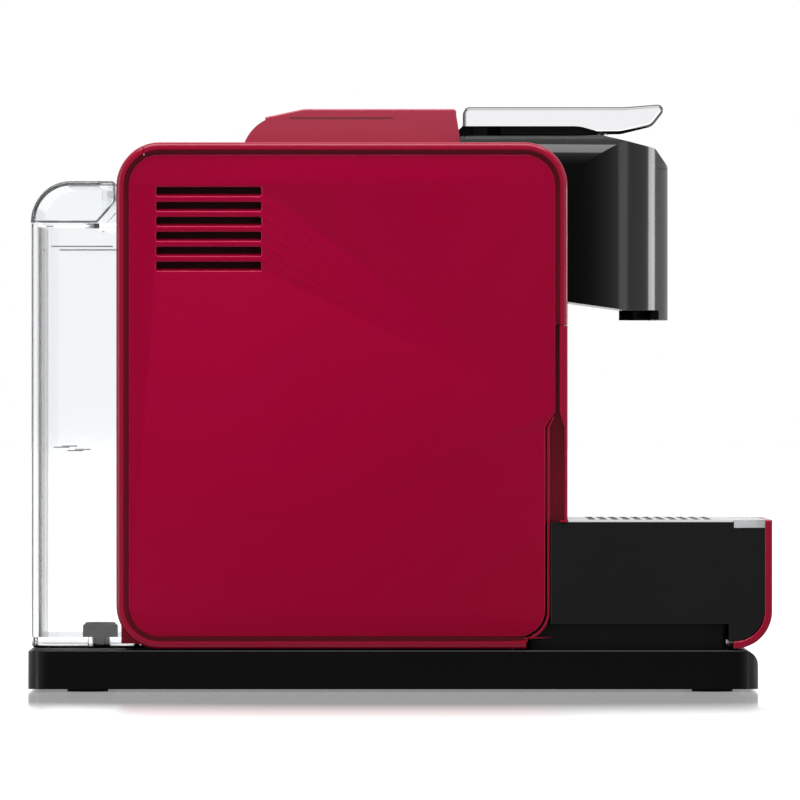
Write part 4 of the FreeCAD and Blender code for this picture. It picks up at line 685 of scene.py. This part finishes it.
class Head(Assembly):
    """The head shell, its front plate, the steam port and the coffee outlet."""

    kept = {"head_shell": (GLOSS_BLACK, 0.6), "front_plate": (GLOSS_BLACK, 0.6),
            "port_door": (SATIN_BLACK, 0.25),
            "steam_port": (STEEL, 0.2), "coffee_spout": (GLOSS_BLACK, 0.5), "spout_funnel": (DARK_INNER, 0.2)}

    def make(self) -> None:
        """Adds the touch keys' generic marks on the shoulder of the head."""
        low, high = span("head_shell")
        for i, y in enumerate((-10.0, 0.0, 10.0)):
            ring = self.shaper.slab(f"touch_mark_{i}", Across.Z, high.z - 4.35, high.z - 4.15,
                                    [frame_box(high.x - 27.5, y - 2.6, high.x - 22.3, y + 2.6, 2.5),
                                     frame_box(high.x - 27.0, y - 2.1, high.x - 22.8, y + 2.1, 2.0)], 0.03)
            self.shaper.dress(ring, LIT_MARK, "body")


class Lever(Assembly):
    """The lifting lever with its bright skin, its core and its pins."""

    kept = {"lever_skin": (CHROME, 0.5), "lever_body": (MATTE_BLACK, 0.4), "crank_pins": (STEEL, 0.2),
            "lever_pivot_pin": (STEEL, 0.2)}


class Brewing(Assembly):
    """The brewing group inside the head."""

    kept = {"brew_frame": (DARK_INNER, 0.3), "injection_block": (DARK_INNER, 0.4),
            "capsule_cage": (MATTE_BLACK, 0.4),
            "cage_seal": (RUBBER, 0.2), "capsule_chute": (DARK_INNER, 0.3), "brew_pipe": (STEEL, 0.1),
            "steam_pipe": (STEEL, 0.1), "heater_pipe": (STEEL, 0.1)}


@dataclass
class TankSizes:
    """Marks, and the painted shade on the thick edges of the clear tank."""

    level_drop: float = 10.6
    line_height: float = 0.6
    print_thick: float = 0.25
    tick_long: float = 7.0
    tick_rises: tuple[float, ...] = (88.0, 86.5)
    shade_wide: float = 1.3
    shade_inset: float = 1.0
    half: float = 58.0
    line_reach: tuple[float, float] = (9.0, 36.0)
    tick_start: float = 10.0
    tick_step: float = 6.0
    tick_height: float = 0.5
    sunk: float = 0.05
    edge_foot: float = 4.0
    edge_head: float = 1.6
    lid_rear: float = 1.2
    lid_front: float = 8.5
    lid_drop: float = 1.3
    lid_foot: float = 2.0
    lid_wide: float = 0.8
    lid_radius: float = 15.0


class Tank(Assembly):
    """The water tank, its lid and its valve."""

    kept = {"water_tank": (CLEAR, 0.5), "tank_lid": (CLEAR, 0.5), "tank_valve": (MATTE_BLACK, 0.4),
            "valve_spring": (STEEL, 0.05), "lid_hinge_pins": (STEEL, 0.15), "tank_coupling": (RUBBER, 0.1),
            "tank_hose": (RUBBER, 0.1)}
    sizes = TankSizes()

    def make(self) -> None:
        """Adds the fill line and ticks, and painted shade on the thick edges of the tank and the lid."""
        s = self.sizes
        low, high = span("water_tank")
        deck = span("tank_lid")[0].z
        for side in Side:
            wall = low.y + s.sunk if side is Side.RIGHT else high.y - s.sunk
            out = wall - side.value * s.print_thick
            depth = (min(wall, out), max(wall, out))
            z = deck - s.level_drop
            self.mark(f"fill_line_{side.name.lower()}", depth, (low.x + s.line_reach[0], z),
                      (low.x + s.line_reach[1], z + s.line_height))
            for i, rise in enumerate(s.tick_rises):
                x, z = low.x + s.tick_start + i * s.tick_step, low.z + rise
                self.mark(f"tick_{side.name.lower()}_{i}", depth, (x, z), (x + s.tick_long, z + s.tick_height))
        x0 = low.x + s.shade_inset
        x1, foot, head = x0 + s.shade_wide, low.z + s.edge_foot, deck - s.edge_head
        self.shade("tank_edge", "water_tank", "tank",
                   [Corner(x0, foot), Corner(x1, foot), Corner(x1, head), Corner(x0, head)])
        first, last = span("tank_lid")
        x0, x1, top, w = first.x + s.lid_rear, last.x - s.lid_front, last.z - s.lid_drop, s.lid_wide
        self.shade("lid_edge", "tank_lid", "lid", [
            Corner(x0, first.z + s.lid_foot), Corner(x0 + w, first.z + s.lid_foot),
            Corner(x0 + w, top - w, s.lid_radius - w),
            Corner(x1, top - w), Corner(x1, top), Corner(x0, top, s.lid_radius)])

    def mark(self, name: str, depth: tuple[float, float], start: Point, end: Point) -> None:
        """A printed mark on the tank's wall.

        Args:
            name: the piece's name.
            depth: its back and face along Y.
            start: its lower rear corner.
            end: its upper front corner.
        """
        piece = self.shaper.slab(name, Across.Y, *depth, [frame_box(*start, *end)], 0.05)
        self.shaper.dress(piece, PRINT, "tank")

    def shade(self, name: str, node: str, body: str, outline: list[Corner]) -> None:
        """The painted shade of a thick clear edge: a grey slab for its darker core.

        Args:
            name: the piece's name.
            node: the clear node that it lies in; not used.
            body: the body that it rides on.
            outline: its outline seen from the side.
        """
        # Painted shade: the grey slab spans the tank's width where the clear edge looks darker.
        piece = self.shaper.slab(name, Across.Y, -self.sizes.half, self.sizes.half, [outline], 0.2)
        self.shaper.dress(piece, PAINTED_EDGE_SHADE, body)


class Drawer(Assembly):
    """The drip drawer, its red fronts, its grid and the capsule bin."""

    kept = {"drawer_tray": (MATTE_BLACK, 0.5), "drawer_front": (RED, 0.5), "drawer_lip": (FROSTED, 0.4),
            "drawer_fascia": (RED, 0.5), "capsule_bin": (MATTE_BLACK, 0.5), "drip_grid": (STEEL, 0.25)}


class Base(Assembly):
    """The plinth and what is under it."""

    kept = {"base_plate": (SATIN_BLACK, 0.4), "base_bottom_cover": (DARK_INNER, 0.3),
            "rubber_feet": (RUBBER, 0.3),
            "base_screws": (STEEL, 0.1), "cord_gland": (RUBBER, 0.3), "drip_base": (DARK_INNER, 0.4)}


class Works(Assembly):
    """What stands behind the capsule bay."""

    kept = {"chassis": (DARK_INNER, 0.3), "pump": (STEEL, 0.4), "pump_dampers": (RUBBER, 0.3),
            "thermoblock": (CAST, 0.4), "thermostats": (STEEL, 0.3), "power_board": (BOARD, 0.2),
            "flow_meter": (MATTE_BLACK, 0.3), "solenoid_valve": (STEEL, 0.3), "pump_hose": (RUBBER, 0.1),
            "pressure_pipe": (STEEL, 0.1), "switch_frame": (MATTE_BLACK, 0.3),
            "power_rocker": (SATIN_BLACK, 0.3)}


# ---------------------------------------------------------------- studio


@dataclass(frozen=True)
class Softbox:
    """A rectangular lamp: its name, place in metres, width, height and power in watts."""

    name: str
    place: tuple[float, float, float]
    width: float
    height: float
    power: float


@dataclass
class StudioSizes:
    """The camera, the lamps and the floor, metres and watts."""

    camera_far: float = 6.0865
    camera_high: float = 0.128
    lens: float = 616.0
    floor: float = 60.0
    ambient: float = 0.34
    floor_glow: tuple[float, float] = (0.20, 1.0)
    gloss_reach: tuple[float, float] = (0.32, 1.0)
    lamps: tuple[Softbox, ...] = (
        Softbox("overhead", (0.0, -0.6, 1.9), 2.2, 1.1, 50.0),
        Softbox("left_wall", (-2.1, -0.8, 0.5), 0.6, 1.2, 8.0),
        Softbox("right_wall", (2.3, -1.3, 0.5), 0.6, 1.2, 3.5),
        Softbox("nose_light", (1.25, 0.37, 0.22), 0.30, 0.14, 1.3),
        Softbox("rear_fill", (-1.6, 2.2, 1.2), 1.0, 1.0, 12.0),
    )


class Studio:
    """The plain white room, its lamps and its camera."""

    def __init__(self, sizes: StudioSizes) -> None:
        """Keeps the sizes."""
        self.sizes = sizes

    def build(self) -> None:
        """Sets the view transform and makes everything in the room."""
        bpy.context.scene.view_settings.view_transform = "Standard"
        self.camera()
        self.world()
        self.floor()
        for softbox in self.sizes.lamps:
            self.lamp(softbox)

    def camera(self) -> None:
        """A long level lens at the side."""
        data = bpy.data.cameras.new("camera")
        data.lens = self.sizes.lens
        data.sensor_width = 36.0
        data.clip_end = 200.0
        camera = bpy.data.objects.new("camera", data)
        camera.location = (0.0, -self.sizes.camera_far, self.sizes.camera_high)
        camera.rotation_euler = (math.radians(90), 0, 0)
        bpy.context.scene.collection.objects.link(camera)
        bpy.context.scene.camera = camera

    def lamp(self, softbox: Softbox) -> None:
        """Hangs a rectangular lamp that looks at the machine.

        Args:
            softbox: its place, size and power.
        """
        data = bpy.data.lights.new(softbox.name, "AREA")
        data.shape = "RECTANGLE"
        data.size = softbox.width
        data.size_y = softbox.height
        data.energy = softbox.power
        lamp = bpy.data.objects.new(softbox.name, data)
        lamp.location = softbox.place
        aim = Vector((0, 0, 0.13)) - Vector(softbox.place)
        lamp.rotation_euler = aim.to_track_quat("-Z", "Y").to_euler()
        lamp.visible_camera = False
        bpy.context.scene.collection.objects.link(lamp)

    def world(self) -> None:
        """White to the eye, to gloss and to glass, and a plain soft grey as light."""
        world = bpy.data.worlds.new("room")
        bpy.context.scene.world = world
        world.use_nodes = True
        tree = world.node_tree
        background = tree.nodes["Background"]
        background.inputs["Color"].default_value = (1, 1, 1, 1)
        path = tree.nodes.new("ShaderNodeLightPath")
        seen = self.either(tree, path.outputs["Is Camera Ray"], path.outputs["Is Transmission Ray"])
        seen = self.either(tree, seen, path.outputs["Is Glossy Ray"])
        level = tree.nodes.new("ShaderNodeMapRange")
        level.inputs["To Min"].default_value = self.sizes.ambient
        level.inputs["To Max"].default_value = 1.0
        tree.links.new(seen, level.inputs["Value"])
        tree.links.new(level.outputs["Result"], background.inputs["Strength"])

    @staticmethod
    def either(tree: bpy.types.NodeTree, first: bpy.types.NodeSocket,
               second: bpy.types.NodeSocket) -> bpy.types.NodeSocket:
        """The larger of two masks."""
        node = tree.nodes.new("ShaderNodeMath")
        node.operation = "MAXIMUM"
        tree.links.new(first, node.inputs[0])
        tree.links.new(second, node.inputs[1])
        return node.outputs[0]

    def fade(self, tree: bpy.types.NodeTree, distance: bpy.types.NodeSocket,
             ends: tuple[float, float]) -> bpy.types.NodeSocket:
        """A value that changes over the floor with the distance from the machine.

        Args:
            tree: the floor's node tree.
            distance: the distance's socket.
            ends: the value near the machine and the value far from it.

        Returns:
            The value's socket.
        """
        node = tree.nodes.new("ShaderNodeMapRange")
        node.inputs["From Min"].default_value, node.inputs["From Max"].default_value = self.sizes.gloss_reach
        node.inputs["To Min"].default_value, node.inputs["To Max"].default_value = ends
        tree.links.new(distance, node.inputs["Value"])
        return node.outputs["Result"]

    def floor(self) -> None:
        """A pale floor that keeps the machine's shadow and a reflection that fades away from it."""
        half = self.sizes.floor / 2
        mesh = bpy.data.meshes.new("floor")
        mesh.from_pydata([(-half, -half, 0), (half, -half, 0), (half, half, 0), (-half, half, 0)], [],
                         [(0, 1, 2, 3)])
        floor = bpy.data.objects.new("floor", mesh)
        bpy.context.scene.collection.objects.link(floor)
        material = bpy.data.materials.new("studio_floor")
        material.use_nodes = True
        tree = material.node_tree
        shader = tree.nodes["Principled BSDF"]
        shader.inputs["Base Color"].default_value = (0.42, 0.42, 0.42, 1)
        place = tree.nodes.new("ShaderNodeNewGeometry")
        away = tree.nodes.new("ShaderNodeVectorMath")
        away.operation = "LENGTH"
        tree.links.new(place.outputs["Position"], away.inputs[0])
        tree.links.new(self.fade(tree, away.outputs["Value"], (0.08, 0.75)), shader.inputs["Roughness"])
        glow = tree.nodes.new("ShaderNodeEmission")
        path = tree.nodes.new("ShaderNodeLightPath")
        seen = self.either(tree, path.outputs["Is Camera Ray"], path.outputs["Is Transmission Ray"])
        seen = self.either(tree, seen, path.outputs["Is Glossy Ray"])
        level = tree.nodes.new("ShaderNodeMath")
        level.operation = "MULTIPLY"
        tree.links.new(self.fade(tree, away.outputs["Value"], self.sizes.floor_glow), level.inputs[1])
        tree.links.new(seen, level.inputs[0])
        tree.links.new(level.outputs[0], glow.inputs["Strength"])
        add = tree.nodes.new("ShaderNodeAddShader")
        tree.links.new(shader.outputs[0], add.inputs[0])
        tree.links.new(glow.outputs[0], add.inputs[1])
        tree.links.new(add.outputs[0], tree.nodes["Material Output"].inputs["Surface"])
        mesh.materials.append(material)


def main() -> None:
    """Builds the room and every sub-assembly in order."""
    logging.basicConfig(level=logging.INFO, format="%(name)s: %(message)s")
    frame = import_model()
    Studio(StudioSizes()).build()
    shaper = Shaper(Wardrobe())
    for kind in (Base, Shells, Head, Lever, Brewing, Tank, Drawer, Works):
        assembly = kind(shaper, frame["nodes"])
        assembly.polish()
        assembly.make()


if __name__ == "__main__":
    main()
